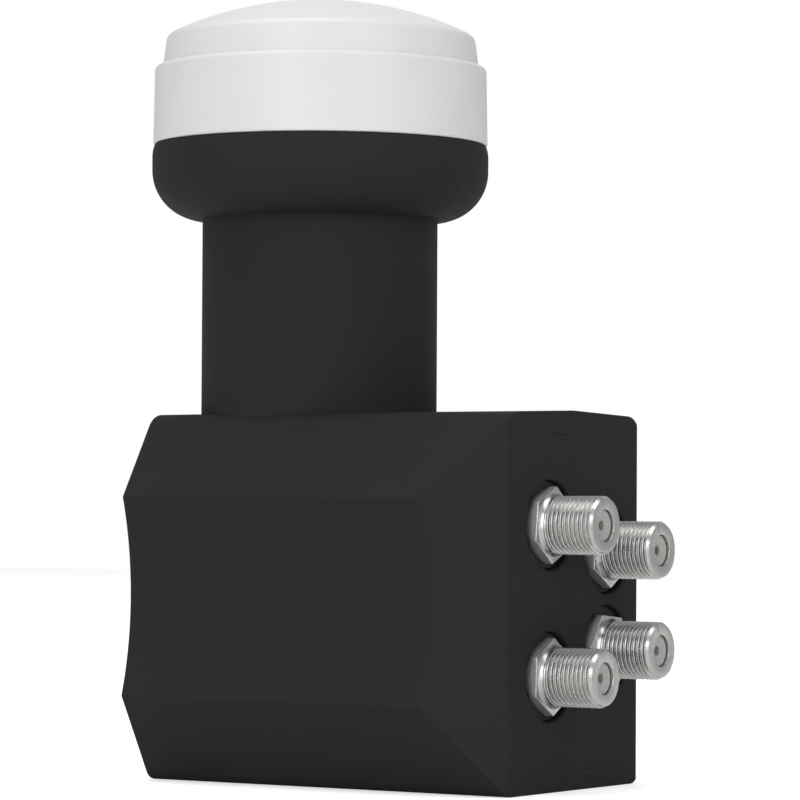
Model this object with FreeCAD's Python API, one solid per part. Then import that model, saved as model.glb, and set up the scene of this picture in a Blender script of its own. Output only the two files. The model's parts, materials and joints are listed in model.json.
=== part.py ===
import FreeCAD, Part
import math
import os

# Satellite receiver head, millimetres. Z runs up the neck through the feed horn, and the
# housing stands on Z = 0. The sockets leave along +X, and the two shells part at Y = 0.

Vector = FreeCAD.Vector

# Neck, cup and housing as seen from outside
neck_radius = 20.0
neck_length = 32.7
cup_radius = 28.6
cup_height = 12.75
cup_round = 8.4
cup_rim_round = 0.3
housing_height = 61.2
housing_crown = 0.65
plain_end = 20.2
socket_end = 50.35
base_half_depth = 20.6
top_half_depth = 20.1
top_round = 4.0
bottom_round = 2.5
ridge_half_depth = 28.5
lower_ridge_height = 14.3
upper_ridge_height = 47.4
waist_depth = 2.4
facet_half_depth = 20.75
facet_length = 12.0
facet_waist_length = 10.2
facet_reach = 6.0

# Shell walls and what joins the two shells
shell_wall = 2.0
lip_depth = 1.8
lip_clearance = 0.12
socket_hole_radius = 7.3
release_slot_length = 6.2
release_slot_height = 0.2
release_slot_inset = 1.1
release_slot_edge = 3.3
snap_width = 6.0
snap_thickness = 1.1
snap_reach = 6.0
snap_root = 8.0
snap_clearance = 0.15
snap_nose_height = 0.8
snap_nose_length = 1.8
snap_end_inset = 18.0
neck_rib_thickness = 1.6
neck_rib_count = 3
pad_width = 3.0

# Cap over the horn
cap_set_in = 0.15
cap_skirt_height = 13.3
cap_taper = 0.25
cap_step_round = 0.8
cap_step = 1.3
cap_tier_height = 5.2
cap_tier_taper = 0.7
cap_edge_round = 1.6
cap_dome_rise = 6.1
cap_wall = 2.0
cap_fit = 0.3

# Horn and waveguide of the casting
waveguide_radius = 9.25
waveguide_wall = 2.75
horn_throat_height = 4.0
horn_cone_length = 9.0
horn_cone_mouth = 13.0
horn_back_chamfer = 7.5
choke_count = 3
choke_depth = 8.0
choke_wall = 1.3
seal_groove_depth = 1.25
seal_groove_width = 1.9
seal_height = 4.5
back_short_depth = 24.0
back_short_wall = 2.8

# Box of the casting
chassis_gap = 0.3
chassis_clearance = 2.2
chassis_wall = 2.6
board_ledge = 1.6
cover_thickness = 1.6
gasket_thickness = 0.5
boss_radius = 3.0
cover_screw_radius = 1.25
cover_screw_length = 7.0
cover_head_radius = 2.3
cover_head_depth = 1.1
drive_slot_width = 0.6
drive_slot_length = 2.6
drive_slot_depth = 0.7
absorber_length = 22.0
absorber_width = 26.0
absorber_thickness = 1.5

# Board and what it carries
board_thickness = 0.8
board_clearance = 0.3
board_post_radius = 2.4
board_post_inset = 7.0
board_screw_radius = 0.95
board_screw_length = 5.0
board_head_radius = 1.9
board_head_height = 1.2
can_height = 6.0
can_wall = 0.8
can_margin = 3.0
can_length = 20.0
chip_margin = 2.0
transistor_size = (1.8, 0.9, 1.8)
transistor_pitch = 4.5
converter_size = (4.0, 0.9, 4.0)
switch_size = (7.0, 1.0, 7.0)
crystal_size = (3.2, 1.2, 5.0)
chip_spacing = 2.0
regulator_size = (4.6, 1.6, 3.6)
capacitor_size = (2.0, 1.4, 3.2)
choke_coil_radius = 1.6
choke_coil_height = 2.6
supply_pitch = 7.0

# Probes in the waveguide
probe_radius = 0.4
probe_reach = 6.5
probe_seat = 3.0
probe_bend = 1.2
vertical_probe_height = 6.5
isolation_pin_height = 11.0
horizontal_probe_height = 15.5
isolation_pin_radius = 1.0
sleeve_radius = 1.6
sleeve_fit = 0.02

# Sockets: 3/8-32 thread drawn at its outside diameter, and an 11 mm hexagon
thread_radius = 9.525 / 2
barrel_length = 9.55
barrel_tip_chamfer = 0.38
collar_radius = 5.2
collar_length = 0.7
hex_across_flats = 11.0
hex_proud = 0.75
hex_seat_radius = 5.6
hex_chamfer_angle = 30.0
shank_radius = 4.0
shank_length = 5.4
shank_fit = 0.03
barrel_mouth_radius = 2.6
barrel_lip = 0.48
insulator_radius = 3.3
insulator_fit = 0.02
insulator_dish_depth = 0.42
pin_hole_radius = 0.8
pin_hole_depth = 1.2
contact_radius = 1.1
contact_bore_radius = 0.6
contact_bore_depth = 6.0
tail_radius = 0.4
tail_reach = 3.0
tail_bend = 1.4
washer_thickness = 1.2
washer_clearance = 0.2

# Each socket: name, place across the side face, height above the base, turn of its hexagon
sockets = (
    ("upper_front", -7.4, 43.15, -6.5),
    ("lower_front", -7.4, 18.7, -1.0),
    ("upper_rear", 10.9, 39.05, 0.0),
    ("lower_rear", 10.9, 22.61, 25.0),
)

# Heights and places that follow from the sizes above
parting_top = housing_height + housing_crown
cup_bottom = parting_top + neck_length
joint_height = cup_bottom + cup_height
waist_middle = (lower_ridge_height + upper_ridge_height) / 2
waist_half_height = (upper_ridge_height - lower_ridge_height) / 2
waist_radius = (waist_half_height**2 + waist_depth**2) / (2 * waist_depth)
step_height = joint_height + cap_skirt_height
cap_radius = cup_radius - cap_set_in
tier_radius = cap_radius - cap_taper - cap_step
tier_top = step_height + cap_tier_height
tier_edge_radius = tier_radius - cap_tier_taper
dome_radius = (tier_edge_radius**2 + cap_dome_rise**2) / (2 * cap_dome_rise)
apex_height = tier_top + cap_dome_rise
cap_bore = cap_radius - cap_taper - cap_wall
column_radius = waveguide_radius + waveguide_wall
horn_radius = cap_bore - cap_fit
horn_top = step_height - cap_wall
horn_bottom = cup_bottom + shell_wall
far = 2 * (joint_height + socket_end)


def cylinder(radius, start, end):
    """A round bar between two points."""
    axis = end - start
    return Part.makeCylinder(radius, axis.Length, start, axis)


def block(low, high):
    """A box between two opposite corners."""
    size = high - low
    return Part.makeBox(size.x, size.y, size.z, low)


def fused(shapes):
    """One solid from shapes that meet."""
    shapes = list(shapes)
    joined = shapes[0].fuse(shapes[1:]) if len(shapes) > 1 else shapes[0]
    return joined.removeSplitter()


def rounding(corner):
    """The radius that a corner of an outline states, or 0."""
    return corner[2] if len(corner) > 2 else 0


def outline_edges(corners, place):
    """Edges of a closed outline of (u, v) corners, or (u, v, radius) where one is rounded."""
    count = len(corners)
    points = [Vector(corner[0], corner[1], 0) for corner in corners]
    leaves = []
    arcs = []
    for i, point in enumerate(points):
        radius = rounding(corners[i])
        if radius <= 0:
            leaves.append((point, point))
            arcs.append(None)
            continue
        before = (points[i - 1] - point).normalize()
        after = (points[(i + 1) % count] - point).normalize()
        half = before.getAngle(after) / 2
        middle = (before + after).normalize()
        centre = point + middle * (radius / math.sin(half))
        setback = radius / math.tan(half)
        leaves.append((point + before * setback, point + after * setback))
        arcs.append(centre - middle * radius)
    edges = []
    for i in range(count):
        start, end = leaves[i]
        if arcs[i] is not None:
            edges.append(Part.Arc(place(start), place(arcs[i]), place(end)).toShape())
        following = leaves[(i + 1) % count][0]
        if following.distanceToPoint(end) > 1e-6:
            edges.append(Part.makeLine(place(end), place(following)))
    return edges


def turned(corners):
    """A solid turned about Z from (radius, height) corners."""
    edges = outline_edges(corners, lambda p: Vector(p.x, 0, p.y))
    return Part.Face(Part.Wire(edges)).revolve(Vector(), Vector(0, 0, 1), 360)


def turned_along_x(corners):
    """A solid turned about X from (distance, radius) corners."""
    edges = outline_edges(corners, lambda p: Vector(p.x, 0, p.y))
    return Part.Face(Part.Wire(edges)).revolve(Vector(), Vector(1, 0, 0), 360)


def inset_outline(corners, inset):
    """The corners moved in so that every side of a counterclockwise outline shifts by inset."""
    count = len(corners)
    points = [Vector(corner[0], corner[1], 0) for corner in corners]
    moved = []
    for i, point in enumerate(points):
        before = (point - points[i - 1]).normalize()
        after = (points[(i + 1) % count] - point).normalize()
        normal_before = Vector(-before.y, before.x, 0)
        normal_after = Vector(-after.y, after.x, 0)
        shift = (normal_before + normal_after) * (inset / (1 + normal_before.dot(normal_after)))
        moved.append((point.x + shift.x, point.y + shift.y, rounding(corners[i]) - inset))
    return moved


def housing_outline():
    """The housing seen from the socket end, as (Y, Z) corners counterclockwise from below."""
    right = [
        (base_half_depth, 0, bottom_round),
        (ridge_half_depth, lower_ridge_height, 0),
        (ridge_half_depth, upper_ridge_height, 0),
        (top_half_depth, housing_height, top_round),
    ]
    left = [(-y, z, radius) for y, z, radius in reversed(right)]
    return right + [(0, parting_top, 0)] + left


def facet_cutter(side, inset):
    """What the slanting facet takes off one corner of the socket end."""
    slope_ridge = facet_length / (ridge_half_depth - facet_half_depth)
    slope_waist = facet_waist_length / (ridge_half_depth - waist_depth - facet_half_depth)
    lean = math.hypot(1, slope_ridge)
    corner_x = socket_end - inset
    corner_y = facet_half_depth - inset * (lean - 1) / slope_ridge
    outer_y = ridge_half_depth + facet_reach
    run = outer_y - corner_y
    ridge_x = corner_x - run * slope_ridge
    waist_x = corner_x - run * slope_waist
    side_x = socket_end + facet_reach

    def at(x, y, z):
        return Vector(x, side * y, z)

    def plain(low, high):
        corners = [(corner_x, corner_y), (ridge_x, outer_y), (side_x, outer_y)]
        face = Part.Face(Part.makePolygon([at(x, y, low) for x, y in corners + corners[:1]]))
        return face.extrude(Vector(0, 0, high - low))

    low = lower_ridge_height
    high = upper_ridge_height
    inner_edge = Part.makeLine(at(corner_x, corner_y, low), at(corner_x, corner_y, high))
    side_edge = Part.makeLine(at(side_x, outer_y, low), at(side_x, outer_y, high))
    bowed = Part.Arc(
        at(ridge_x, outer_y, low), at(waist_x, outer_y, waist_middle), at(ridge_x, outer_y, high)
    ).toShape()
    ends = []
    for z in (low, high):
        corners = [at(corner_x, corner_y, z), at(ridge_x, outer_y, z), at(side_x, outer_y, z)]
        ends.append(Part.Face(Part.makePolygon(corners + corners[:1])))
    faces = [
        Part.makeRuledSurface(inner_edge, bowed),
        Part.makeRuledSurface(bowed, side_edge),
        Part.makeRuledSurface(side_edge, inner_edge),
    ]
    shell = Part.makeShell(faces + ends)
    shell.sewShape()
    bent = Part.Solid(Part.Shell(shell.Faces))
    return [plain(-far, low), bent, plain(high, far)]


def housing_block(inset):
    """The housing as one block, inset evenly."""
    corners = inset_outline(housing_outline(), inset)
    start = inset - plain_end
    edges = outline_edges(corners, lambda p: Vector(start, p.x, p.y))
    length = plain_end + socket_end - 2 * inset
    body = Part.Face(Part.Wire(edges)).extrude(Vector(length, 0, 0))
    for side in (-1, 1):
        centre_y = side * (ridge_half_depth - waist_depth + waist_radius)
        body = body.cut(
            cylinder(
                waist_radius + inset,
                Vector(-far, centre_y, waist_middle),
                Vector(far, centre_y, waist_middle),
            )
        )
        for cutter in facet_cutter(side, inset):
            body = body.cut(cutter)
    return body


def outer_body(inset, top):
    """Housing, neck and cup as one solid, inset evenly, with the cup ending at top."""
    radius = cup_radius - inset
    bottom = cup_bottom + inset
    rim = cup_rim_round if top == joint_height else 0
    cup = turned([(0, bottom), (radius, bottom, cup_round - inset), (radius, top, rim), (0, top)])
    neck = cylinder(
        neck_radius - inset, Vector(0, 0, waist_middle), Vector(0, 0, cup_bottom + cup_round)
    )
    return fused([housing_block(inset), neck, cup])


def half_space(side, reach):
    """Everything on one side of the parting plane, out to reach."""
    return block(
        Vector(-far, min(0, side * reach), -far), Vector(far, max(0, side * reach), far)
    )


def cavity_top(y):
    """Height of the ceiling inside the housing, at a distance from the parting plane."""
    corners = inset_outline(housing_outline(), shell_wall)
    edge_y, edge_z, _ = corners[3]
    middle_z = corners[4][1]
    return middle_z - (middle_z - edge_z) * abs(y) / edge_y


def chassis_size():
    """Left, right, half depth, floor and top of the casting's box."""
    corners = inset_outline(housing_outline(), shell_wall)
    half_depth = min(corners[0][0], corners[3][0]) - chassis_gap
    return (
        shell_wall + chassis_gap - plain_end,
        socket_end - shell_wall - chassis_gap,
        half_depth,
        shell_wall + chassis_clearance,
        housing_height - shell_wall - chassis_clearance,
    )


chassis_left, chassis_right, chassis_half_depth, chassis_floor, chassis_top = chassis_size()
chassis_front = cover_thickness + gasket_thickness - chassis_half_depth
board_front = -board_thickness / 2
board_back = board_thickness / 2
pocket_left = chassis_left + chassis_wall
pocket_right = chassis_right - chassis_wall
pocket_floor = chassis_floor + chassis_wall
pocket_top = chassis_top - chassis_wall
pocket_back = chassis_half_depth - chassis_wall
back_short_height = chassis_top - back_short_depth
column_bottom = back_short_height - back_short_wall


def snap_places():
    """Where the snap arms sit: X, the direction of the wall they lie under, and its height."""
    right = socket_end - snap_end_inset
    left = snap_end_inset - plain_end
    under_top = cavity_top(snap_root)
    return [(right, 1, under_top), (left, -1, shell_wall), (right, -1, shell_wall)]


def snap_arm(x, up, wall_z):
    """A snap arm of the rear shell, with its nose in the front shell's pocket."""
    outer = wall_z - up * snap_clearance
    inner = outer - up * snap_thickness
    nose = outer + up * (snap_nose_height + snap_clearance)
    root = wall_z + up * shell_wall / 2
    lip_end = lip_depth + 2 * lip_clearance
    corners = [
        (-snap_reach, inner),
        (snap_root, inner),
        (snap_root, root),
        (lip_end, root),
        (lip_end, outer),
        (snap_nose_length - snap_reach, outer),
        (snap_nose_length - snap_reach, nose),
        (-snap_reach, outer),
    ]
    points = [Vector(x - snap_width / 2, y, z) for y, z in corners]
    face = Part.Face(Part.makePolygon(points + points[:1]))
    return face.extrude(Vector(snap_width, 0, 0))


def snap_pocket(x, up, wall_z):
    """The recess in the front shell that takes a snap arm's nose."""
    half = snap_width / 2 + snap_clearance
    depth = wall_z + up * (snap_nose_height + snap_clearance)
    mouth = wall_z - up * shell_wall
    return block(
        Vector(x - half, -snap_reach - snap_clearance, min(mouth, depth)),
        Vector(x + half, snap_nose_length - snap_reach + snap_clearance, max(mouth, depth)),
    )


def neck_ribs():
    """Rings inside the neck that steady the waveguide."""
    pitch = neck_length / neck_rib_count
    ribs = []
    for i in range(neck_rib_count):
        low = parting_top + (i + 0.5) * pitch - neck_rib_thickness / 2
        start = Vector(0, 0, low)
        end = Vector(0, 0, low + neck_rib_thickness)
        outer = cylinder(neck_radius - shell_wall / 2, start, end)
        ribs.append(outer.cut(cylinder(column_radius + chassis_gap, start, end)))
    return ribs


def support_pads():
    """Bars on the housing's floor and ceiling that hold the casting."""
    half = chassis_half_depth
    middle = (chassis_left + chassis_right) / 2
    places = [chassis_left, middle, chassis_right - pad_width]
    pads = []
    for x in places:
        low = Vector(x, -half, shell_wall / 2)
        pads.append(block(low, Vector(x + pad_width, half, chassis_floor)))
    for x in places[1:]:
        low = Vector(x, -half, chassis_top)
        pads.append(block(low, Vector(x + pad_width, half, cavity_top(half) + shell_wall / 2)))
    return pads


def release_slot(side, height):
    """A narrow slot through the side face beside the parting plane."""
    near = side * release_slot_inset
    away = side * (release_slot_inset + release_slot_length)
    return block(
        Vector(socket_end - 2 * shell_wall, min(near, away), height - release_slot_height / 2),
        Vector(socket_end + shell_wall, max(near, away), height + release_slot_height / 2),
    )


def socket_holes():
    """The round holes in the side face that the sockets stand in."""
    return [
        cylinder(socket_hole_radius, Vector(chassis_right, y, z), Vector(far, y, z))
        for _, y, z, _ in sockets
    ]


def shells():
    """The front and rear shells of the housing."""
    cavity = outer_body(shell_wall, joint_height + shell_wall)
    whole = outer_body(0, joint_height).cut(cavity)
    whole = whole.fuse(neck_ribs() + support_pads())
    for hole in socket_holes():
        whole = whole.cut(hole)
    groove = outer_body(shell_wall / 2, joint_height + shell_wall).cut(cavity)
    tongue = outer_body(shell_wall / 2 + lip_clearance, joint_height).cut(cavity)
    places = snap_places()
    front = whole.common(half_space(-1, far))
    front = front.fuse(tongue.common(half_space(1, lip_depth)))
    for place in places:
        front = front.cut(snap_pocket(*place))
    rear = whole.common(half_space(1, far)).cut(groove.common(half_space(1, lip_depth + lip_clearance)))
    rear = rear.fuse([snap_arm(*place) for place in places])
    front = front.cut(release_slot(-1, housing_height - release_slot_edge))
    rear = rear.cut(release_slot(1, release_slot_edge))
    return front.removeSplitter(), rear.removeSplitter()


def cap_form(inset, bottom):
    """The cap's outer or inner form as one solid."""
    step = step_height - inset
    skirt_top = cap_radius - cap_taper
    tier = tier_radius - inset
    rise = 2 * (cap_tier_height + cap_dome_rise)
    corners = [
        (0, bottom),
        (cap_bore if inset else cap_radius, bottom),
        (cap_bore if inset else skirt_top, step, 0 if inset else cap_step_round),
        (tier, step),
        (tier - rise * cap_tier_taper / cap_tier_height, step + rise),
        (0, step + rise),
    ]
    form = turned(corners)
    centre = Vector(0, 0, apex_height - dome_radius)
    return form.common(Part.makeSphere(dome_radius - inset, centre))


def feed_cap():
    """The cap over the horn's mouth."""
    outer = cap_form(0, joint_height)
    rim = [e for e in outer.Edges if abs(e.BoundBox.ZMin - tier_top) + e.BoundBox.ZLength < 1e-3]
    outer = outer.makeFillet(cap_edge_round, rim)
    return outer.cut(cap_form(cap_wall, joint_height - cap_wall))


def cap_seal():
    """The ring between the horn and the cap."""
    floor = horn_radius - seal_groove_depth
    section = (cap_bore - floor) / 2
    return Part.makeTorus(floor + section, section, Vector(0, 0, joint_height + seal_height))


def horn():
    """The waveguide tube, the horn's cone and its choke rings, before boring."""
    corners = [
        (0, column_bottom),
        (column_radius, column_bottom),
        (column_radius, horn_bottom),
        (horn_radius - horn_back_chamfer, horn_bottom),
        (horn_radius, horn_bottom + horn_back_chamfer),
        (horn_radius, horn_top),
        (0, horn_top),
    ]
    return turned(corners)


def horn_bore():
    """Everything taken out of the horn and the waveguide."""
    cone_bottom = horn_bottom + horn_throat_height
    cone_top = cone_bottom + horn_cone_length
    cuts = [
        turned(
            [
                (0, back_short_height),
                (waveguide_radius, back_short_height),
                (waveguide_radius, cone_bottom),
                (horn_cone_mouth, cone_top),
                (horn_cone_mouth, far),
                (0, far),
            ]
        )
    ]
    pitch = (horn_radius - horn_cone_mouth - choke_wall) / choke_count
    for i in range(choke_count):
        inner = horn_cone_mouth + choke_wall + i * pitch
        slot_floor = Vector(0, 0, horn_top - choke_depth)
        slot = cylinder(inner + pitch - choke_wall, slot_floor, Vector(0, 0, far))
        slot = slot.cut(cylinder(inner, Vector(), Vector(0, 0, far)))
        cuts.append(slot)
    floor = horn_radius - seal_groove_depth
    middle = joint_height + seal_height
    low = Vector(0, 0, middle - seal_groove_width / 2)
    high = Vector(0, 0, middle + seal_groove_width / 2)
    cuts.append(cylinder(horn_radius + 1, low, high).cut(cylinder(floor, low, high)))
    return cuts


def boss_places():
    """Where the cover's screws stand, as (X, Z) places."""
    left = chassis_left + boss_radius
    right = chassis_right - boss_radius
    middle = (column_radius + boss_radius + board_clearance + can_wall)
    low = chassis_floor + boss_radius
    high = chassis_top - boss_radius
    return [(x, z) for z in (low, high) for x in (left, middle, right)]


def post_places():
    """Where the board's screws stand, as (X, Z) places."""
    low = pocket_floor + board_post_inset
    return [
        (pocket_left + board_post_inset, low),
        (column_radius, low),
        (pocket_right - board_post_inset, pocket_floor + board_post_radius + board_clearance),
        (pocket_right - board_post_inset, pocket_top - board_post_radius - board_clearance),
    ]


def chassis_casting():
    """Horn, waveguide and board box, cast in one."""
    box = block(
        Vector(chassis_left, chassis_front, chassis_floor),
        Vector(chassis_right, chassis_half_depth, chassis_top),
    )
    front_pocket = block(
        Vector(pocket_left, chassis_front - 1, pocket_floor), Vector(pocket_right, board_back, pocket_top)
    )
    rear_pocket = block(
        Vector(pocket_left + board_ledge, board_back, pocket_floor + board_ledge),
        Vector(pocket_right - board_ledge, pocket_back, pocket_top - board_ledge),
    )
    bosses = [
        cylinder(boss_radius, Vector(x, chassis_front, z), Vector(x, chassis_half_depth, z))
        for x, z in boss_places()
    ]
    posts = [
        cylinder(board_post_radius, Vector(x, board_back, z), Vector(x, chassis_half_depth, z))
        for x, z in post_places()
    ]
    body = box.cut([front_pocket, rear_pocket]).fuse(bosses + posts + [horn()])
    cuts = horn_bore()
    screw_depth = chassis_front + cover_screw_length
    for x, z in boss_places():
        hole_start = Vector(x, chassis_front - 1, z)
        cuts.append(cylinder(cover_screw_radius, hole_start, Vector(x, screw_depth, z)))
    for x, z in post_places():
        end = board_front + board_screw_length
        cuts.append(cylinder(board_screw_radius, Vector(x, board_front, z), Vector(x, end, z)))
    for _, y, z, _ in sockets:
        hole = shank_radius + shank_fit
        cuts.append(cylinder(hole, Vector(pocket_right - 2 * board_ledge, y, z), Vector(far, y, z)))
    for height in (vertical_probe_height, horizontal_probe_height):
        start = Vector(0, probe_y, back_short_height + height)
        cuts.append(cylinder(sleeve_radius, start, start + Vector(column_radius + 1, 0, 0)))
    pin_start = Vector(-column_radius, 0, back_short_height + isolation_pin_height)
    cuts.append(cylinder(isolation_pin_radius, pin_start, pin_start + Vector(2 * column_radius, 0, 0)))
    return body.cut(cuts).removeSplitter()


def ring_plate(thickness, front):
    """A plate the size of the casting's rim, open over the pocket."""
    return block(
        Vector(chassis_left, front, chassis_floor),
        Vector(chassis_right, front + thickness, chassis_top),
    )


def cover_gasket():
    """The flat gasket between the casting and its cover."""
    front = chassis_front - gasket_thickness
    rim = ring_plate(gasket_thickness, front)
    rim = rim.cut(
        block(
            Vector(pocket_left, front - 1, pocket_floor),
            Vector(pocket_right, chassis_front + 1, pocket_top),
        )
    )
    pads = [
        cylinder(boss_radius, Vector(x, front, z), Vector(x, chassis_front, z))
        for x, z in boss_places()
    ]
    rim = rim.fuse(pads)
    holes = [
        cylinder(cover_screw_radius, Vector(x, front - 1, z), Vector(x, chassis_front + 1, z))
        for x, z in boss_places()
    ]
    return rim.cut(holes).removeSplitter()


def screw_form(x, z):
    """A countersunk cover screw, standing along Y with its head in front."""
    head = -chassis_half_depth
    end = chassis_front + cover_screw_length
    corners = [
        (head, 0),
        (head, cover_head_radius),
        (head + cover_head_depth, cover_screw_radius),
        (end, cover_screw_radius),
        (end, 0),
    ]
    screw = turned_along_x(corners)
    screw.rotate(Vector(), Vector(0, 0, 1), 90)
    screw.translate(Vector(x, 0, z))
    return screw


def cover_screws():
    """The cover's screws, with a cross recess in each head."""
    screws = []
    for x, z in boss_places():
        screw = screw_form(x, z)
        for along, across in ((drive_slot_length, drive_slot_width), (drive_slot_width, drive_slot_length)):
            head = -chassis_half_depth
            low = Vector(x - along / 2, head - 1, z - across / 2)
            high = Vector(x + along / 2, head + drive_slot_depth, z + across / 2)
            screw = screw.cut(block(low, high))
        screws.append(screw)
    return Part.Compound(screws)


def chassis_cover():
    """The flat cover over the board's pocket."""
    plate = ring_plate(cover_thickness, -chassis_half_depth)
    return plate.cut([screw_form(x, z) for x, z in boss_places()])


def absorber_pad():
    """The soft pad on the inside of the cover, over the board."""
    back = cover_thickness - chassis_half_depth
    x = (column_radius + pocket_right) / 2 - absorber_length / 2
    z = (pocket_floor + pocket_top) / 2 - absorber_width / 2
    size = Vector(absorber_length, absorber_thickness, absorber_width)
    return block(Vector(x, back, z), Vector(x, back, z) + size)


def rf_board():
    """The circuit board, cut out around the waveguide, the bosses and its screws."""
    gap = board_clearance
    board = block(
        Vector(pocket_left + gap, board_front, pocket_floor + gap),
        Vector(pocket_right - gap, board_back, pocket_top - gap),
    )
    around_column = column_radius + gap
    cuts = [block(Vector(-far, -far, column_bottom - gap), Vector(around_column, far, far))]
    for x, z in boss_places():
        cuts.append(cylinder(boss_radius + gap, Vector(x, -far, z), Vector(x, far, z)))
    for x, z in post_places():
        cuts.append(cylinder(board_screw_radius, Vector(x, -far, z), Vector(x, far, z)))
    return board.cut(cuts)


def board_screws():
    """The round-headed screws that hold the board."""
    screws = []
    for x, z in post_places():
        head_front = board_front - board_head_height
        head = cylinder(board_head_radius, Vector(x, head_front, z), Vector(x, board_front, z))
        end = Vector(x, board_front + board_screw_length, z)
        stem = cylinder(board_screw_radius, Vector(x, board_front, z), end)
        screws.append(fused([head, stem]))
    return Part.Compound(screws)


def can_place():
    """Left, right, floor and top of the shield can on the board."""
    left = column_radius + can_margin
    boss_reach = 2 * (boss_radius + board_clearance)
    return left, left + can_length, chassis_floor + boss_reach, chassis_top - boss_reach


def shield_can():
    """The can over the low-noise parts, open towards the board, with a partition."""
    left, right, floor, top = can_place()
    back = board_front - can_height
    can = block(Vector(left, back, floor), Vector(right, board_front, top))
    inner_left = left + can_wall
    inner_right = right - can_wall
    split = (left + right) / 2
    for low_x, high_x in ((inner_left, split - can_wall / 2), (split + can_wall / 2, inner_right)):
        low = Vector(low_x, back + can_wall, floor + can_wall)
        can = can.cut(block(low, Vector(high_x, board_front, top - can_wall)))
    doors = [
        cylinder(
            sleeve_radius,
            Vector(left - 1, probe_y, back_short_height + height),
            Vector(inner_left, probe_y, back_short_height + height),
        )
        for height in (vertical_probe_height, horizontal_probe_height)
    ]
    return can.cut(doors)


def chip(size, x, z, side):
    """A chip of (length, height, width) lying on one side of the board, centred at (X, Z)."""
    length, height, width = size
    low = board_front - height if side < 0 else board_back
    corner = Vector(x - length / 2, low, z - width / 2)
    return block(corner, corner + Vector(length, height, width))


def can_columns():
    """The middle of the can's two compartments along X, and the height of the lowest chips' edge."""
    left, right, floor, _ = can_place()
    quarter = (right - left) / 4
    return left + quarter, right - quarter, floor + can_wall + chip_margin


def low_noise_transistors():
    """A small transistor at the end of each probe, and a third that both lead to."""
    x = probe_end + transistor_size[0]
    lower = back_short_height + vertical_probe_height
    heights = (lower - transistor_pitch, lower, back_short_height + horizontal_probe_height)
    return Part.Compound([chip(transistor_size, x, z, -1) for z in heights])


def converter_chips():
    """The two chips that bring the signal down in frequency."""
    x, _, floor = can_columns()
    first = floor + converter_size[2] / 2
    second = first + converter_size[2] + chip_spacing
    return Part.Compound([chip(converter_size, x, z, -1) for z in (first, second)])


def switch_chip():
    """The chip that leads each socket to its signal."""
    _, x, floor = can_columns()
    return chip(switch_size, x, floor + switch_size[2] / 2, -1)


def crystal():
    """The reference crystal beside the switch chip."""
    _, x, floor = can_columns()
    return chip(crystal_size, x, floor + switch_size[2] + chip_spacing + crystal_size[2] / 2, -1)


def supply_row():
    """Where the four supply stages lie on the back of the board, as (X, Z) places."""
    left = column_radius + can_margin + regulator_size[0] / 2
    middle = (pocket_floor + pocket_top) / 2
    return [(left, middle + (i - 1.5) * supply_pitch) for i in range(len(sockets))]


def voltage_regulators():
    """One regulator for each socket."""
    return Part.Compound([chip(regulator_size, x, z, 1) for x, z in supply_row()])


def filter_capacitors():
    """One capacitor beside each regulator."""
    step = (regulator_size[0] + capacitor_size[0]) / 2 + chip_spacing
    return Part.Compound([chip(capacitor_size, x + step, z, 1) for x, z in supply_row()])


def choke_coils():
    """One round coil beyond each capacitor."""
    step = regulator_size[0] / 2 + capacitor_size[0] + choke_coil_radius + 2 * chip_spacing
    coils = []
    for x, z in supply_row():
        start = Vector(x + step, board_back, z)
        coils.append(cylinder(choke_coil_radius, start, start + Vector(0, choke_coil_height, 0)))
    return Part.Compound(coils)


def bent_wire(radius, points, bend):
    """A round wire through three points, with a rounded bend at the middle one."""
    start, corner, end = points
    before = (start - corner).normalize()
    after = (end - corner).normalize()
    centre = corner + (before + after) * bend
    middle = centre - (before + after).normalize() * bend
    first = corner + before * bend
    second = corner + after * bend
    path = Part.Wire(
        [
            Part.makeLine(start, first),
            Part.Arc(first, middle, second).toShape(),
            Part.makeLine(second, end),
        ]
    )
    section = Part.Wire(Part.makeCircle(radius, start, before))
    return path.makePipeShell([section], True, False)


probe_y = board_front - probe_radius
probe_end = column_radius + can_margin + can_wall + probe_seat


def horizontal_probe():
    """The straight probe across the waveguide."""
    z = back_short_height + horizontal_probe_height
    start = waveguide_radius - probe_reach
    return cylinder(probe_radius, Vector(start, probe_y, z), Vector(probe_end, probe_y, z))


def vertical_probe():
    """The probe that turns to stand square to the other one."""
    z = back_short_height + vertical_probe_height
    corner = Vector(0, probe_y, z)
    points = (Vector(probe_end, probe_y, z), corner, corner - Vector(0, probe_reach, 0))
    return bent_wire(probe_radius, points, probe_bend)


def probe_sleeves():
    """The insulating sleeves around the probes in the waveguide's wall."""
    sleeves = []
    for height in (vertical_probe_height, horizontal_probe_height):
        start = Vector(waveguide_radius, probe_y, back_short_height + height)
        end = start + Vector(waveguide_wall, 0, 0)
        sleeve = cylinder(sleeve_radius, start, end)
        sleeves.append(sleeve.cut(cylinder(probe_radius + sleeve_fit, start, end)))
    return Part.Compound(sleeves)


def isolation_pin():
    """The bar across the waveguide between the two probes."""
    z = back_short_height + isolation_pin_height
    half = waveguide_radius + waveguide_wall / 2
    return cylinder(isolation_pin_radius, Vector(-half, 0, z), Vector(half, 0, z))


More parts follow.
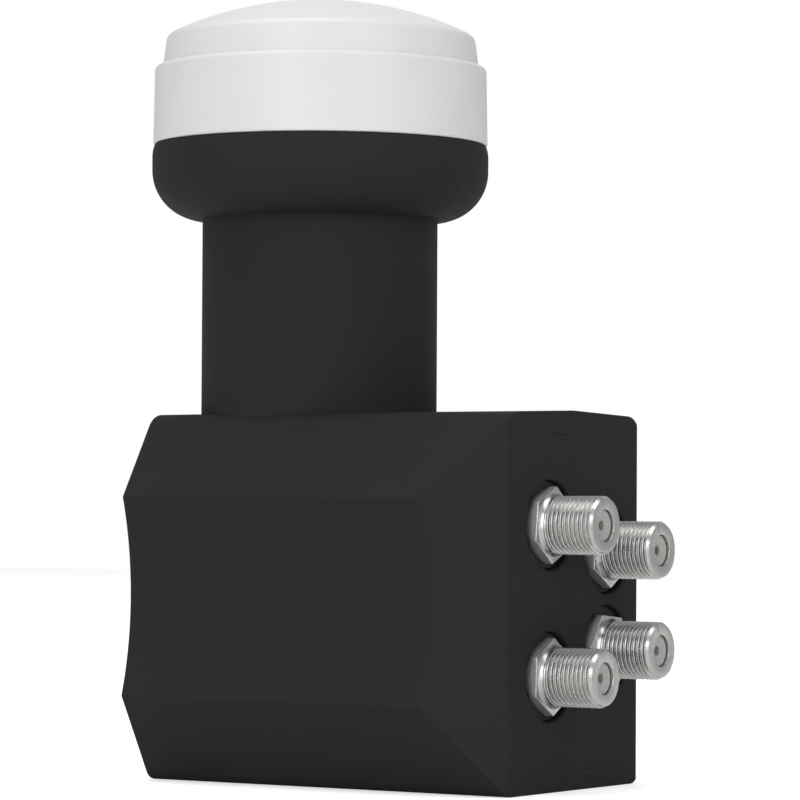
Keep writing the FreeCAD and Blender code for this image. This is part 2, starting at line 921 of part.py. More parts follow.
def connector_body(turn):
    """A socket's body on the X axis, with its hexagon turned by an angle."""
    seat = chassis_right + washer_thickness
    hex_face = socket_end + hex_proud
    tip = hex_face + barrel_length
    back = chassis_right - shank_length
    corner_radius = hex_across_flats / 2 / math.cos(math.radians(30))
    points = []
    for i in range(7):
        angle = math.radians(60 * i + turn)
        y = -corner_radius * math.sin(angle)
        points.append(Vector(seat, y, corner_radius * math.cos(angle)))
    hexagon = Part.Face(Part.makePolygon(points)).extrude(Vector(hex_face - seat, 0, 0))
    chamfer = (corner_radius - hex_seat_radius) * math.tan(math.radians(hex_chamfer_angle))
    hexagon = hexagon.common(
        turned_along_x(
            [
                (seat, 0),
                (seat, hex_seat_radius),
                (seat + chamfer, corner_radius),
                (seat + chamfer, 2 * corner_radius),
                (tip, 2 * corner_radius),
                (tip, 0),
            ]
        )
    )
    barrel = turned_along_x(
        [
            (back, 0),
            (back, shank_radius),
            (hex_face - hex_proud, shank_radius),
            (hex_face, collar_radius),
            (hex_face + collar_length, thread_radius),
            (tip - barrel_tip_chamfer, thread_radius),
            (tip, thread_radius - barrel_tip_chamfer),
            (tip, 0),
        ]
    )
    mouth = cylinder(barrel_mouth_radius, Vector(back - 1, 0, 0), Vector(tip + 1, 0, 0))
    bore_end = Vector(tip - barrel_lip, 0, 0)
    bore = cylinder(insulator_radius + insulator_fit, Vector(back - 1, 0, 0), bore_end)
    return fused([hexagon, barrel]).cut([mouth, bore]).removeSplitter()


def connector_insulator():
    """The insulating core of a socket on the X axis."""
    face = socket_end + hex_proud + barrel_length - barrel_lip
    hole_face = face - insulator_dish_depth
    back = chassis_right - shank_length
    core = turned_along_x(
        [
            (back, 0),
            (back, insulator_radius),
            (face, insulator_radius),
            (face, barrel_mouth_radius),
            (hole_face, pin_hole_radius),
            (hole_face, 0),
        ]
    )
    pin_hole = cylinder(pin_hole_radius, Vector(back - 1, 0, 0), Vector(face, 0, 0))
    seat_end = Vector(hole_face - pin_hole_depth, 0, 0)
    seat = cylinder(contact_radius + insulator_fit, Vector(back - 1, 0, 0), seat_end)
    return core.cut([pin_hole, seat])


def connector_contact(y, z):
    """A socket's contact, with its tail bent down to the board."""
    tip = socket_end + hex_proud + barrel_length
    front = tip - barrel_lip - insulator_dish_depth - pin_hole_depth
    back = chassis_right - shank_length
    barrel = cylinder(contact_radius, Vector(back, y, z), Vector(front, y, z))
    bore_back = Vector(front - contact_bore_depth, y, z)
    bore = cylinder(contact_bore_radius, bore_back, Vector(front + 1, y, z))
    bend_x = back - tail_reach
    landing = board_front if y < 0 else board_back
    points = (Vector(back, y, z), Vector(bend_x, y, z), Vector(bend_x, landing, z))
    return fused([barrel, bent_wire(tail_radius, points, tail_bend)]).cut(bore)


def connector_seal():
    """The rubber washer between a socket's hexagon and the casting, on the X axis."""
    start = Vector(chassis_right, 0, 0)
    end = Vector(chassis_right + washer_thickness, 0, 0)
    washer = cylinder(socket_hole_radius - washer_clearance, start, end)
    return washer.cut(cylinder(shank_radius + shank_fit, start, end))


def socket_pieces():
    """Every socket's body, core, contact and washer, by node name."""
    pieces = {}
    for name, y, z, turn in sockets:
        at = Vector(0, y, z)
        pieces[f"connector_body_{name}"] = connector_body(turn).translated(at)
        pieces[f"connector_insulator_{name}"] = connector_insulator().translated(at)
        pieces[f"connector_contact_{name}"] = connector_contact(y, z)
        pieces[f"connector_seal_{name}"] = connector_seal().translated(at)
    return pieces


def pieces():
    """Every piece of the part, by node name."""
    front, rear = shells()
    made = {"front_shell": front, "rear_shell": rear}
    for build in (
        feed_cap,
        cap_seal,
        chassis_casting,
        chassis_cover,
        cover_gasket,
        cover_screws,
        absorber_pad,
        rf_board,
        board_screws,
        shield_can,
        low_noise_transistors,
        converter_chips,
        switch_chip,
        crystal,
        voltage_regulators,
        filter_capacitors,
        choke_coils,
        horizontal_probe,
        vertical_probe,
        probe_sleeves,
        isolation_pin,
    ):
        made[build.__name__] = build()
    made.update(socket_pieces())
    return made


os.makedirs("parts", exist_ok=True)
for node, shape in pieces().items():
    shape.exportStep(f"parts/{node}.step")
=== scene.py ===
import json
import logging
import math
from dataclasses import dataclass
from enum import Enum
from typing import NamedTuple, Optional, Sequence, Union

import bmesh
import bpy
from mathutils import Matrix, Vector


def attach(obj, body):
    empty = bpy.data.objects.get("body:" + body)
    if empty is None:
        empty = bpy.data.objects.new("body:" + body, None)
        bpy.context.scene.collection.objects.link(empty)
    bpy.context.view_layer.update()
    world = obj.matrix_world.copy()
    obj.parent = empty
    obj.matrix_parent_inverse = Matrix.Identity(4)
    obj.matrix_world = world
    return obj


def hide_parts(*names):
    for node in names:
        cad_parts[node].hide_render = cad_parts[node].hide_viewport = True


# The looks of a satellite receiver head: two black shells, a white cap over the feed horn and
# four nickel-plated coaxial sockets. Sizes are in millimetres, as in the part's source, and
# become metres where a mesh is made.

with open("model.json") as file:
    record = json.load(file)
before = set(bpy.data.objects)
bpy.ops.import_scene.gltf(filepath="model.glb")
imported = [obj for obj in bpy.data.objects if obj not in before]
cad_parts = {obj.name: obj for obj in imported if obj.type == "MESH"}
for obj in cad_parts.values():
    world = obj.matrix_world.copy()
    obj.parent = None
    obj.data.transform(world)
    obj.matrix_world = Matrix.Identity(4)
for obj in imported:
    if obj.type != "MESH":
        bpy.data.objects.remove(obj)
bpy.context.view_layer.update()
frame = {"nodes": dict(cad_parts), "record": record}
LOG = logging.getLogger("receiver_head")
MM = 0.001

Number = Union[int, float]
Path = list[tuple[float, float]]


class Corner(NamedTuple):
    """A corner of a flat outline, and the radius it is rounded to."""

    u: float
    v: float
    radius: float = 0.0


class Sample(NamedTuple):
    """A point of a rounded outline, the corner it came from and how far round that corner it is."""

    u: float
    v: float
    corner: int
    share: float


class Axis(Enum):
    """The axis that a turned piece is turned about."""

    UP = "z"
    SOCKET = "x"


def linear(hex_colour: str) -> tuple[float, float, float, float]:
    """Turns an sRGB hex colour into Blender's linear colour.

    Args:
        hex_colour: Six hex digits after a hash.

    Returns:
        Red, green, blue and alpha.
    """
    values = [int(hex_colour[i : i + 2], 16) / 255 for i in (1, 3, 5)]
    red, green, blue = [v / 12.92 if v <= 0.04045 else ((v + 0.055) / 1.055) ** 2.4 for v in values]
    return red, green, blue, 1.0


def add_node(
    tree: bpy.types.NodeTree, kind: str, inputs: Optional[dict] = None, **settings: object
) -> bpy.types.Node:
    """Adds a node with its settings, its input values and the links into it.

    Args:
        tree: The tree that gets the node.
        kind: The node's type name.
        inputs: A value or another node's output for each input, by name or number.
        **settings: The node's own properties.

    Returns:
        The new node.
    """
    node = tree.nodes.new(kind)
    for name, value in settings.items():
        setattr(node, name, value)
    for name, value in (inputs or {}).items():
        if isinstance(value, bpy.types.NodeSocket):
            tree.links.new(value, node.inputs[name])
        else:
            node.inputs[name].default_value = value
    return node


# Outlines and meshes


# How much of a side the arcs at its two ends may take up
SIDE_SHARE = 0.98
# The least radius of a shell's inner edges and of its inner corners, in millimetres
LEAST_EDGE = 0.05
LEAST_CORNER = 0.3
# How far flat faces win over round ones where their normals meet, from 1 to 100
FLAT_WEIGHT = 80
# Points nearer than this are one point, and a slope below the second value is level
SAME_POINT = 1e-5
LEVEL = 1e-6


def rounded(corners: Sequence[Corner], closed: bool = True, steps: int = 6) -> list[Sample]:
    """Rounds the corners of a flat outline.

    Args:
        corners: The outline's corners in order.
        closed: Whether the last corner joins the first.
        steps: How many pieces each arc has.

    Returns:
        The outline's points. Every rounded corner gives the same number of them.
    """
    count = len(corners)
    spots = [Vector((corner.u, corner.v)) for corner in corners]
    halves = []
    setbacks = []
    for i, corner in enumerate(corners):
        sharp = corner.radius <= 0 or not (closed or 0 < i < count - 1)
        to_last = spots[i - 1] - spots[i]
        to_next = spots[(i + 1) % count] - spots[i]
        halves.append(0.0 if sharp else to_last.angle(to_next) / 2)
        setbacks.append(0.0 if sharp else corner.radius / math.tan(halves[i]))
    samples = []
    for i, corner in enumerate(corners):
        if setbacks[i] == 0.0:
            samples.append(Sample(corner.u, corner.v, i, 0.0))
            continue
        here = spots[i]
        # Two arcs that would overlap on the side between them share it
        room = 1.0
        for j in (i - 1, (i + 1) % count):
            side = (spots[j] - here).length
            room = min(room, SIDE_SHARE * side / (setbacks[i] + setbacks[j]))
        setback = setbacks[i] * room
        half = halves[i]
        radius = setback * math.tan(half)
        before = (spots[i - 1] - here).normalized()
        after = (spots[(i + 1) % count] - here).normalized()
        centre = here + (before + after).normalized() * (radius / math.sin(half))
        start = here + before * setback - centre
        turn = start.angle_signed(here + after * setback - centre)
        for step in range(steps + 1):
            share = step / steps
            spoke = start.copy()
            spoke.rotate(Matrix.Rotation(-turn * share, 2))
            point = centre + spoke
            samples.append(Sample(point.x, point.y, i, share))
    return samples


def arc(centre: Sequence[float], radius: float, start: float, end: float, steps: int) -> Path:
    """The points of an arc.

    Args:
        centre: Its centre.
        radius: Its radius.
        start: The angle at which it starts, in radians.
        end: The angle at which it ends.
        steps: How many pieces it has.

    Returns:
        Its points, both ends included.
    """
    angles = [start + (end - start) * step / steps for step in range(steps + 1)]
    return [(centre[0] + radius * math.cos(a), centre[1] + radius * math.sin(a)) for a in angles]


def rounded_path(corners: Sequence[Corner], closed: bool = True, steps: int = 6) -> Path:
    """The same as rounded(), as plain points.

    Args:
        corners: The outline's corners in order.
        closed: Whether the last corner joins the first.
        steps: How many pieces each arc has.

    Returns:
        The outline's points.
    """
    return [(s.u, s.v) for s in rounded(corners, closed, steps)]


def mesh_piece(name: str, build: bmesh.types.BMesh) -> bpy.types.Object:
    """Makes an object from a closed mesh and turns its faces outwards.

    Args:
        name: The object's name.
        build: The mesh, in millimetres. It is freed.

    Returns:
        The object, at the origin, in metres.
    """
    bmesh.ops.remove_doubles(build, verts=build.verts, dist=SAME_POINT)
    if build.calc_volume(signed=True) < 0:
        bmesh.ops.reverse_faces(build, faces=build.faces)
    bmesh.ops.scale(build, vec=(MM, MM, MM), verts=build.verts)
    mesh = bpy.data.meshes.new(name)
    build.to_mesh(mesh)
    build.free()
    piece = bpy.data.objects.new(name, mesh)
    bpy.context.scene.collection.objects.link(piece)
    return piece


def swept(
    name: str,
    angles: Sequence[float],
    paths: Sequence[Path],
    axis: Axis,
    centre: Vector,
    ring: bool = False,
) -> bpy.types.Object:
    """Makes a piece from a (place along the axis, radius) path at each angle round an axis.

    The UV map runs round the piece in U and along the path in V, both in millimetres.

    Args:
        name: The piece's name.
        angles: The angles, in radians, rising through one turn. They count from +Z towards -Y
            about the sockets' axis, and from +X towards +Y about the upright one.
        paths: One path for each angle, all with the same number of points.
        axis: The axis.
        centre: A point of the axis, in millimetres.
        ring: Whether each path is closed, for a piece with a hole through it. Otherwise each
            path starts and ends on the axis.

    Returns:
        The piece.
    """
    build = bmesh.new()
    layer = build.loops.layers.uv.new("turned")
    columns = []
    for angle, path in zip(angles, paths):
        column = []
        for along, radius in path:
            if axis is Axis.SOCKET:
                place = Vector((along, -radius * math.sin(angle), radius * math.cos(angle)))
            else:
                place = Vector((radius * math.cos(angle), radius * math.sin(angle), along))
            column.append(build.verts.new(centre + place))
        columns.append(column)
    reach = max(radius for _, radius in paths[0])
    lengths = [0.0]
    first = paths[0] + paths[0][:1]
    for start, end in zip(first, first[1:]):
        lengths.append(lengths[-1] + math.dist(start, end))
    count = len(columns)
    rows = len(paths[0]) if ring else len(paths[0]) - 1
    for i in range(count):
        near = columns[i]
        further = columns[(i + 1) % count]
        u_near = angles[i] * reach
        u_further = (angles[i + 1] if i + 1 < count else angles[0] + math.tau) * reach
        for j in range(rows):
            k = (j + 1) % len(near)
            face = build.faces.new((near[j], further[j], further[k], near[k]))
            spots = ((u_near, j), (u_further, j), (u_further, j + 1), (u_near, j + 1))
            for loop, (u, v) in zip(face.loops, spots):
                loop[layer].uv = (u, lengths[v])
    return mesh_piece(name, build)


def turned(
    name: str,
    path: Path,
    axis: Axis = Axis.UP,
    centre: Vector = Vector(),
    ring: bool = False,
    columns: int = 192,
) -> bpy.types.Object:
    """Makes a round piece by turning one path about an axis.

    Args:
        name: The piece's name.
        path: Its (place along the axis, radius) path.
        axis: The axis.
        centre: A point of the axis, in millimetres.
        ring: Whether the path is closed.
        columns: How many steps there are round the axis.

    Returns:
        The piece.
    """
    angles = [math.tau * i / columns for i in range(columns)]
    return swept(name, angles, [path] * columns, axis, centre, ring)


def box_piece(name: str, low: Vector, high: Vector) -> bpy.types.Object:
    """Makes a plain box for cutting with.

    Args:
        name: The box's name.
        low: Its lowest corner, in millimetres.
        high: Its highest corner.

    Returns:
        The box.
    """
    build = bmesh.new()
    bmesh.ops.create_cube(build, size=1.0)
    size = high - low
    for vert in build.verts:
        vert.co = Vector(a * b for a, b in zip(vert.co, size)) + (low + high) / 2
    return mesh_piece(name, build)


def settled(piece: bpy.types.Object) -> bpy.types.Object:
    """Makes an object's modifiers part of its mesh.

    Args:
        piece: The object.

    Returns:
        The same object, with no modifiers.
    """
    graph = bpy.context.evaluated_depsgraph_get()
    mesh = bpy.data.meshes.new_from_object(piece.evaluated_get(graph))
    piece.modifiers.clear()
    piece.data = mesh
    return piece


def joined(piece: bpy.types.Object, other: bpy.types.Object, how: str) -> bpy.types.Object:
    """Adds, takes away or intersects another object, which is used up.

    Args:
        piece: The object that is changed.
        other: The object that it is changed with.
        how: UNION, DIFFERENCE or INTERSECT.

    Returns:
        The changed object.
    """
    step = piece.modifiers.new("join", "BOOLEAN")
    step.operation = how
    step.solver = "MANIFOLD"
    step.object = other
    settled(piece)
    bpy.data.objects.remove(other)
    return piece


def shaded(piece: bpy.types.Object, sharp_degrees: float = 30.0) -> bpy.types.Object:
    """Shades a piece smooth, with flat faces kept flat and steep edges kept sharp.

    Args:
        piece: The object.
        sharp_degrees: The angle from which an edge is sharp.

    Returns:
        The same object.
    """
    piece.data.shade_smooth()
    piece.data.set_sharp_from_angle(angle=math.radians(sharp_degrees))
    even = piece.modifiers.new("even", "WEIGHTED_NORMAL")
    even.keep_sharp = True
    even.weight = FLAT_WEIGHT
    return settled(piece)


def dress(
    piece: bpy.types.Object, material: bpy.types.Material, slot: str, *nodes: str
) -> None:
    """Gives a finished piece its material and its place in the frame.

    Args:
        piece: The object.
        material: Its material.
        slot: The record's material slot. It is not used.
        *nodes: The CAD nodes that it stands for.
    """
    piece.data.materials.clear()
    piece.data.materials.append(material)
    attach(piece, "root")
    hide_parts(*nodes)
    LOG.info("%s: %d faces, for %s", piece.name, len(piece.data.polygons), ", ".join(nodes))


# Finishes


class Surface:
    """A new material with its shader, coordinates and output ready."""

    def __init__(self, name: str, colour: str, roughness: float, **shader: Number) -> None:
        """Starts the material.

        Args:
            name: The material's name.
            colour: Its base colour as sRGB hex.
            roughness: Its roughness.
            **shader: More values for the shader's inputs, with underscores for spaces.
        """
        self.material = bpy.data.materials.new(name)
        self.material.use_nodes = True
        self.tree = self.material.node_tree
        self.tree.nodes.clear()
        inputs = {"Base Color": linear(colour), "Roughness": roughness}
        inputs.update({key.replace("_", " "): value for key, value in shader.items()})
        self.shader = add_node(self.tree, "ShaderNodeBsdfPrincipled", inputs)
        add_node(self.tree, "ShaderNodeOutputMaterial", {"Surface": self.shader.outputs["BSDF"]})
        self.place = add_node(self.tree, "ShaderNodeTexCoord")

    def noise(
        self, size: float, detail: float = 2.0, stretch: Optional[Sequence[float]] = None
    ) -> bpy.types.NodeSocket:
        """Adds a noise pattern.

        Args:
            size: How large its spots are, in millimetres.
            detail: How many finer layers it has.
            stretch: How much finer it is along each axis of the piece's own UV map, for marks
                that follow the turning. Without it, the pattern lies on Object coordinates.

        Returns:
            The pattern's value, from 0 to 1.
        """
        if stretch is None:
            spots = {"Vector": self.place.outputs["Object"], "Scale": 1 / (size * MM)}
        else:
            scaled = add_node(
                self.tree,
                "ShaderNodeVectorMath",
                {0: self.place.outputs["UV"], 1: (stretch[0] / size, stretch[1] / size, 1.0)},
                operation="MULTIPLY",
            )
            spots = {"Vector": scaled.outputs["Vector"], "Scale": 1.0}
        spots["Detail"] = detail
        return add_node(self.tree, "ShaderNodeTexNoise", spots).outputs["Fac"]

    def spread(
        self,
        value: bpy.types.NodeSocket,
        low: float,
        high: float,
        start: float = 0.3,
        end: float = 0.7,
    ) -> bpy.types.NodeSocket:
        """Maps a pattern's middle range onto two values.

        Args:
            value: The pattern.
            low: The value at its low end.
            high: The value at its high end.
            start: Where the low end is.
            end: Where the high end is.

        Returns:
            The mapped value.
        """
        inputs = {
            "Value": value,
            "From Min": start,
            "From Max": end,
            "To Min": low,
            "To Max": high,
        }
        return add_node(self.tree, "ShaderNodeMapRange", inputs).outputs["Result"]

    def along_x(self) -> bpy.types.NodeSocket:
        """Gives the place along the sockets' direction, in metres."""
        parts = add_node(self.tree, "ShaderNodeSeparateXYZ", {0: self.place.outputs["Object"]})
        return parts.outputs["X"]

    def total(
        self, first: bpy.types.NodeSocket, second: bpy.types.NodeSocket
    ) -> bpy.types.NodeSocket:
        """Adds two values."""
        both = add_node(self.tree, "ShaderNodeMath", {0: first, 1: second}, operation="ADD")
        return both.outputs[0]

    def tint(self, pattern: bpy.types.NodeSocket, first: str, second: str) -> None:
        """Varies the base colour between two colours by a pattern.

        Args:
            pattern: The pattern.
            first: The colour at its low end, as sRGB hex.
            second: The colour at its high end.
        """
        share = self.spread(pattern, 0.0, 1.0)
        mix = add_node(
            self.tree,
            "ShaderNodeMix",
            {0: share, 6: linear(first), 7: linear(second)},
            data_type="RGBA",
        )
        self.tree.links.new(mix.outputs[2], self.shader.inputs["Base Color"])

    def roughen(self, value: bpy.types.NodeSocket) -> None:
        """Takes the roughness from a value."""
        self.tree.links.new(value, self.shader.inputs["Roughness"])

    def mottle(self, pattern: bpy.types.NodeSocket, middle: float, by: float) -> None:
        """Varies the roughness by a pattern.

        Args:
            pattern: The pattern.
            middle: The roughness at its middle.
            by: How much less and more it is at the pattern's ends.
        """
        self.roughen(self.spread(pattern, middle - by, middle + by))

    def emboss(self, value: bpy.types.NodeSocket, depth: float, strength: float = 1.0) -> None:
        """Raises the surface by a pattern, on top of what is embossed so far.

        Args:
            value: The pattern, from 0 to 1.
            depth: How high it stands, in millimetres.
            strength: How much of it shows.
        """
        inputs = {"Height": value, "Distance": depth * MM, "Strength": strength}
        if self.shader.inputs["Normal"].links:
            inputs["Normal"] = self.shader.inputs["Normal"].links[0].from_socket
        bump = add_node(self.tree, "ShaderNodeBump", inputs)
        self.tree.links.new(bump.outputs["Normal"], self.shader.inputs["Normal"])


@dataclass(frozen=True)
class MouldedHousing:
    """Black ASA, injection moulded in a spark-eroded tool: a fine even grain and a soft gloss."""

    name: str = "asa_black_moulded"
    colour: str = "#272728"
    second_colour: str = "#29292A"
    roughness: float = 0.72
    # A grained skin scatters much of its gloss, so it shines less than the bare plastic
    gloss: float = 0.3
    index: float = 1.3
    # The real grain is about 0.08 mm across, drawn at 0.2 mm, as coarse as a pixel here
    grain: float = 0.2
    grain_depth: float = 0.004
    flow: float = 14.0
    flow_roughness: float = 0.03

    def material(self) -> bpy.types.Material:
        """Builds the material.

        Returns:
            The material.
        """
        shine = {"IOR": self.index, "Specular_IOR_Level": self.gloss}
        surface = Surface(self.name, self.colour, self.roughness, **shine)
        grain = surface.noise(self.grain, 3.0)
        flow = surface.noise(self.flow, 2.0)
        surface.tint(flow, self.colour, self.second_colour)
        surface.mottle(flow, self.roughness, self.flow_roughness)
        surface.emboss(grain, self.grain_depth)
        return surface.material


@dataclass(frozen=True)
class MouldedCap:
    """White ASA, injection moulded and satin: a little light passes into it at its edges."""

    name: str = "asa_white_moulded"
    colour: str = "#E1E1E1"
    second_colour: str = "#DDDDDD"
    roughness: float = 0.42
    # Drawn at 0.3 mm, where the real texture is about 0.1 mm and would not show
    grain: float = 0.3
    grain_depth: float = 0.003
    flow: float = 22.0
    flow_roughness: float = 0.03
    index: float = 1.5
    # How much of the light passes into the plastic, and how far, in millimetres
    glow: float = 0.08
    glow_depth: float = 0.8

    def material(self) -> bpy.types.Material:
        """Builds the material.

        Returns:
            The material.
        """
        surface = Surface(
            self.name,
            self.colour,
            self.roughness,
            IOR=self.index,
            Subsurface_Weight=self.glow,
            Subsurface_Scale=self.glow_depth * MM,
        )
        flow = surface.noise(self.flow, 2.0)
        surface.tint(flow, self.colour, self.second_colour)
        surface.mottle(flow, self.roughness, self.flow_roughness)
        surface.emboss(surface.noise(self.grain, 2.0), self.grain_depth)
        return surface.material


@dataclass(frozen=True)
class NickelPlate:
    """Satin nickel on turned brass: grey metal with fine marks round the turning axis."""

    name: str = "nickel_plate_turned"
    colour: str = "#CBCBC9"
    second_colour: str = "#BFBFBD"
    roughness: float = 0.27
    # The hexagon's flats keep the duller skin of the drawn bar, and its front edge and all
    # that is in front of it are turned. These are the places along X where that starts and ends.
    bar_roughness: float = 0.62
    turned_start: float = 50.88
    turned_full: float = 50.98
    # Turning marks follow the tool's feed of about 0.1 mm a turn
    feed: float = 0.1
    mark_depth: float = 0.001
    # How much longer a mark is than it is wide
    mark_length: float = 100.0
    # How large the clouds are, and how much smoother and rougher they make the plate
    cloud: float = 1.6
    cloud_smoother: float = 0.04
    cloud_rougher: float = 0.06

    def material(self) -> bpy.types.Material:
        """Builds the material.

        Returns:
            The material.
        """
        surface = Surface(self.name, self.colour, self.roughness, Metallic=1.0)
        marks = surface.noise(self.feed, 2.0, (1 / self.mark_length, 1.0))
        cloud = surface.noise(self.cloud, 3.0)
        surface.tint(cloud, self.colour, self.second_colour)
        start, end = self.turned_start * MM, self.turned_full * MM
        skin = surface.spread(surface.along_x(), self.bar_roughness, self.roughness, start, end)
        change = surface.spread(cloud, -self.cloud_smoother, self.cloud_rougher)
        surface.roughen(surface.total(skin, change))
        surface.emboss(marks, self.mark_depth)
        return surface.material


@dataclass(frozen=True)
class MouldedInsulator:
    """Natural polyethylene, moulded: a milky light grey that lets a little light in."""

    name: str = "polyethylene_moulded"
    colour: str = "#ACACA9"
    roughness: float = 0.5
    cloud: float = 1.2
    cloud_depth: float = 0.01
    cloud_roughness: float = 0.06
    index: float = 1.51
    # How much of the light passes into the plastic, and how far, in millimetres
    glow: float = 0.15
    glow_depth: float = 0.6

    def material(self) -> bpy.types.Material:
        """Builds the material.

        Returns:
            The material.
        """
        surface = Surface(
            self.name,
            self.colour,
            self.roughness,
            IOR=self.index,
            Subsurface_Weight=self.glow,
            Subsurface_Scale=self.glow_depth * MM,
        )
        cloud = surface.noise(self.cloud, 2.0)
        surface.mottle(cloud, self.roughness, self.cloud_roughness)
        surface.emboss(cloud, self.cloud_depth)
        return surface.material


@dataclass(frozen=True)
class SealRubber:
    """Black nitrile rubber, moulded: dull, with a faint bloom."""

    name: str = "nitrile_rubber_moulded"
    colour: str = "#111112"
    bloom_colour: str = "#1A1A1B"
    roughness: float = 0.75
    index: float = 1.52
    cloud: float = 3.0
    grain: float = 0.2
    grain_depth: float = 0.006

    def material(self) -> bpy.types.Material:
        """Builds the material.

        Returns:
            The material.
        """
        surface = Surface(self.name, self.colour, self.roughness, IOR=self.index)
        cloud = surface.noise(self.cloud, 4.0)
        surface.tint(cloud, self.colour, self.bloom_colour)
        surface.emboss(surface.noise(self.grain, 2.0), self.grain_depth)
        return surface.material


@dataclass(frozen=True)
class Metal:
    """A plain metal whose grain and stains follow how its surface was made."""

    name: str
    colour: str
    second_colour: str
    roughness: float
    # How large the grain and the stains are, and how high the grain stands, in millimetres
    grain: float
    grain_depth: float
    stain: float
    stain_roughness: float = 0.08

    def material(self) -> bpy.types.Material:
        """Builds the material.

        Returns:
            The material.
        """
        surface = Surface(self.name, self.colour, self.roughness, Metallic=1.0)
        stain = surface.noise(self.stain, 4.0)
        surface.tint(stain, self.colour, self.second_colour)
        surface.mottle(stain, self.roughness, self.stain_roughness)
        surface.emboss(surface.noise(self.grain, 2.0), self.grain_depth)
        return surface.material


@dataclass(frozen=True)
class Compound:
    """A matte non-metal, such as foam, lacquered laminate or moulded resin."""

    name: str
    colour: str
    second_colour: str
    roughness: float
    # How large the grain and the patches are, and how high the grain stands, in millimetres
    grain: float
    grain_depth: float
    patch: float
    patch_roughness: float = 0.05
    index: float = 1.5

    def material(self) -> bpy.types.Material:
        """Builds the material.

        Returns:
            The material.
        """
        surface = Surface(self.name, self.colour, self.roughness, IOR=self.index)
        patch = surface.noise(self.patch, 3.0)
        surface.tint(patch, self.colour, self.second_colour)
        surface.mottle(patch, self.roughness, self.patch_roughness)
        surface.emboss(surface.noise(self.grain, 2.0), self.grain_depth)
        return surface.material


# What each of the record's slots is made of. The inner pieces are closed in, and are seen
# only if the shells are taken off.
FINISHES = {
    "housing_plastic": MouldedHousing(),
    "cap_plastic": MouldedCap(),
    "plated_metal": NickelPlate(),
    "insulator_plastic": MouldedInsulator(),
    "seal_rubber": SealRubber(),
    # Phosphor bronze, formed and left bare: smooth, and slightly dulled
    "contact_metal": Metal("bronze_bare", "#8A7C66", "#7D705C", 0.35, 0.1, 0.002, 1.5),
    # Aluminium, pressure die cast: a dull skin with flow marks
    "cast_metal": Metal("aluminium_die_cast", "#A9AAAC", "#9C9DA0", 0.5, 0.35, 0.012, 9.0),
    # Steel, zinc plated: bluish and slightly cloudy
    "screw_steel": Metal("steel_zinc_plated", "#AEB2B6", "#A2A6AC", 0.32, 0.15, 0.003, 2.0),
    # Steel sheet, tinned: bright with a soft cloud
    "tinned_sheet": Metal("steel_sheet_tinned", "#B9B9B8", "#ACACAA", 0.3, 0.25, 0.003, 4.0),
    # Loaded foam sheet: dull and porous
    "absorber_foam": Compound("foam_carbon_loaded", "#1B1B1D", "#232325", 0.9, 0.4, 0.08, 2.0),
    # Glass laminate under solder lacquer: green with a faint weave of thick and thin lacquer
    "board_laminate": Compound("laminate_lacquered", "#1D4A2B", "#255A34", 0.35, 0.5, 0.01, 3.0),
    # Epoxy moulding compound: matte black with a fine grit
    "chip_resin": Compound("epoxy_moulded", "#18181A", "#202022", 0.6, 0.12, 0.005, 1.0),
    # Epoxy-dipped tantalum body: tan and slightly glossy
    "capacitor_body": Compound("epoxy_dipped", "#A07A3C", "#8F6C34", 0.4, 0.3, 0.01, 1.5),
}


# The two shells


class RowPoint(NamedTuple):
    """A point of the housing's outline seen from the socket end, and the way that leads inwards."""

    y: float
    z: float
    inward_y: float
    inward_z: float


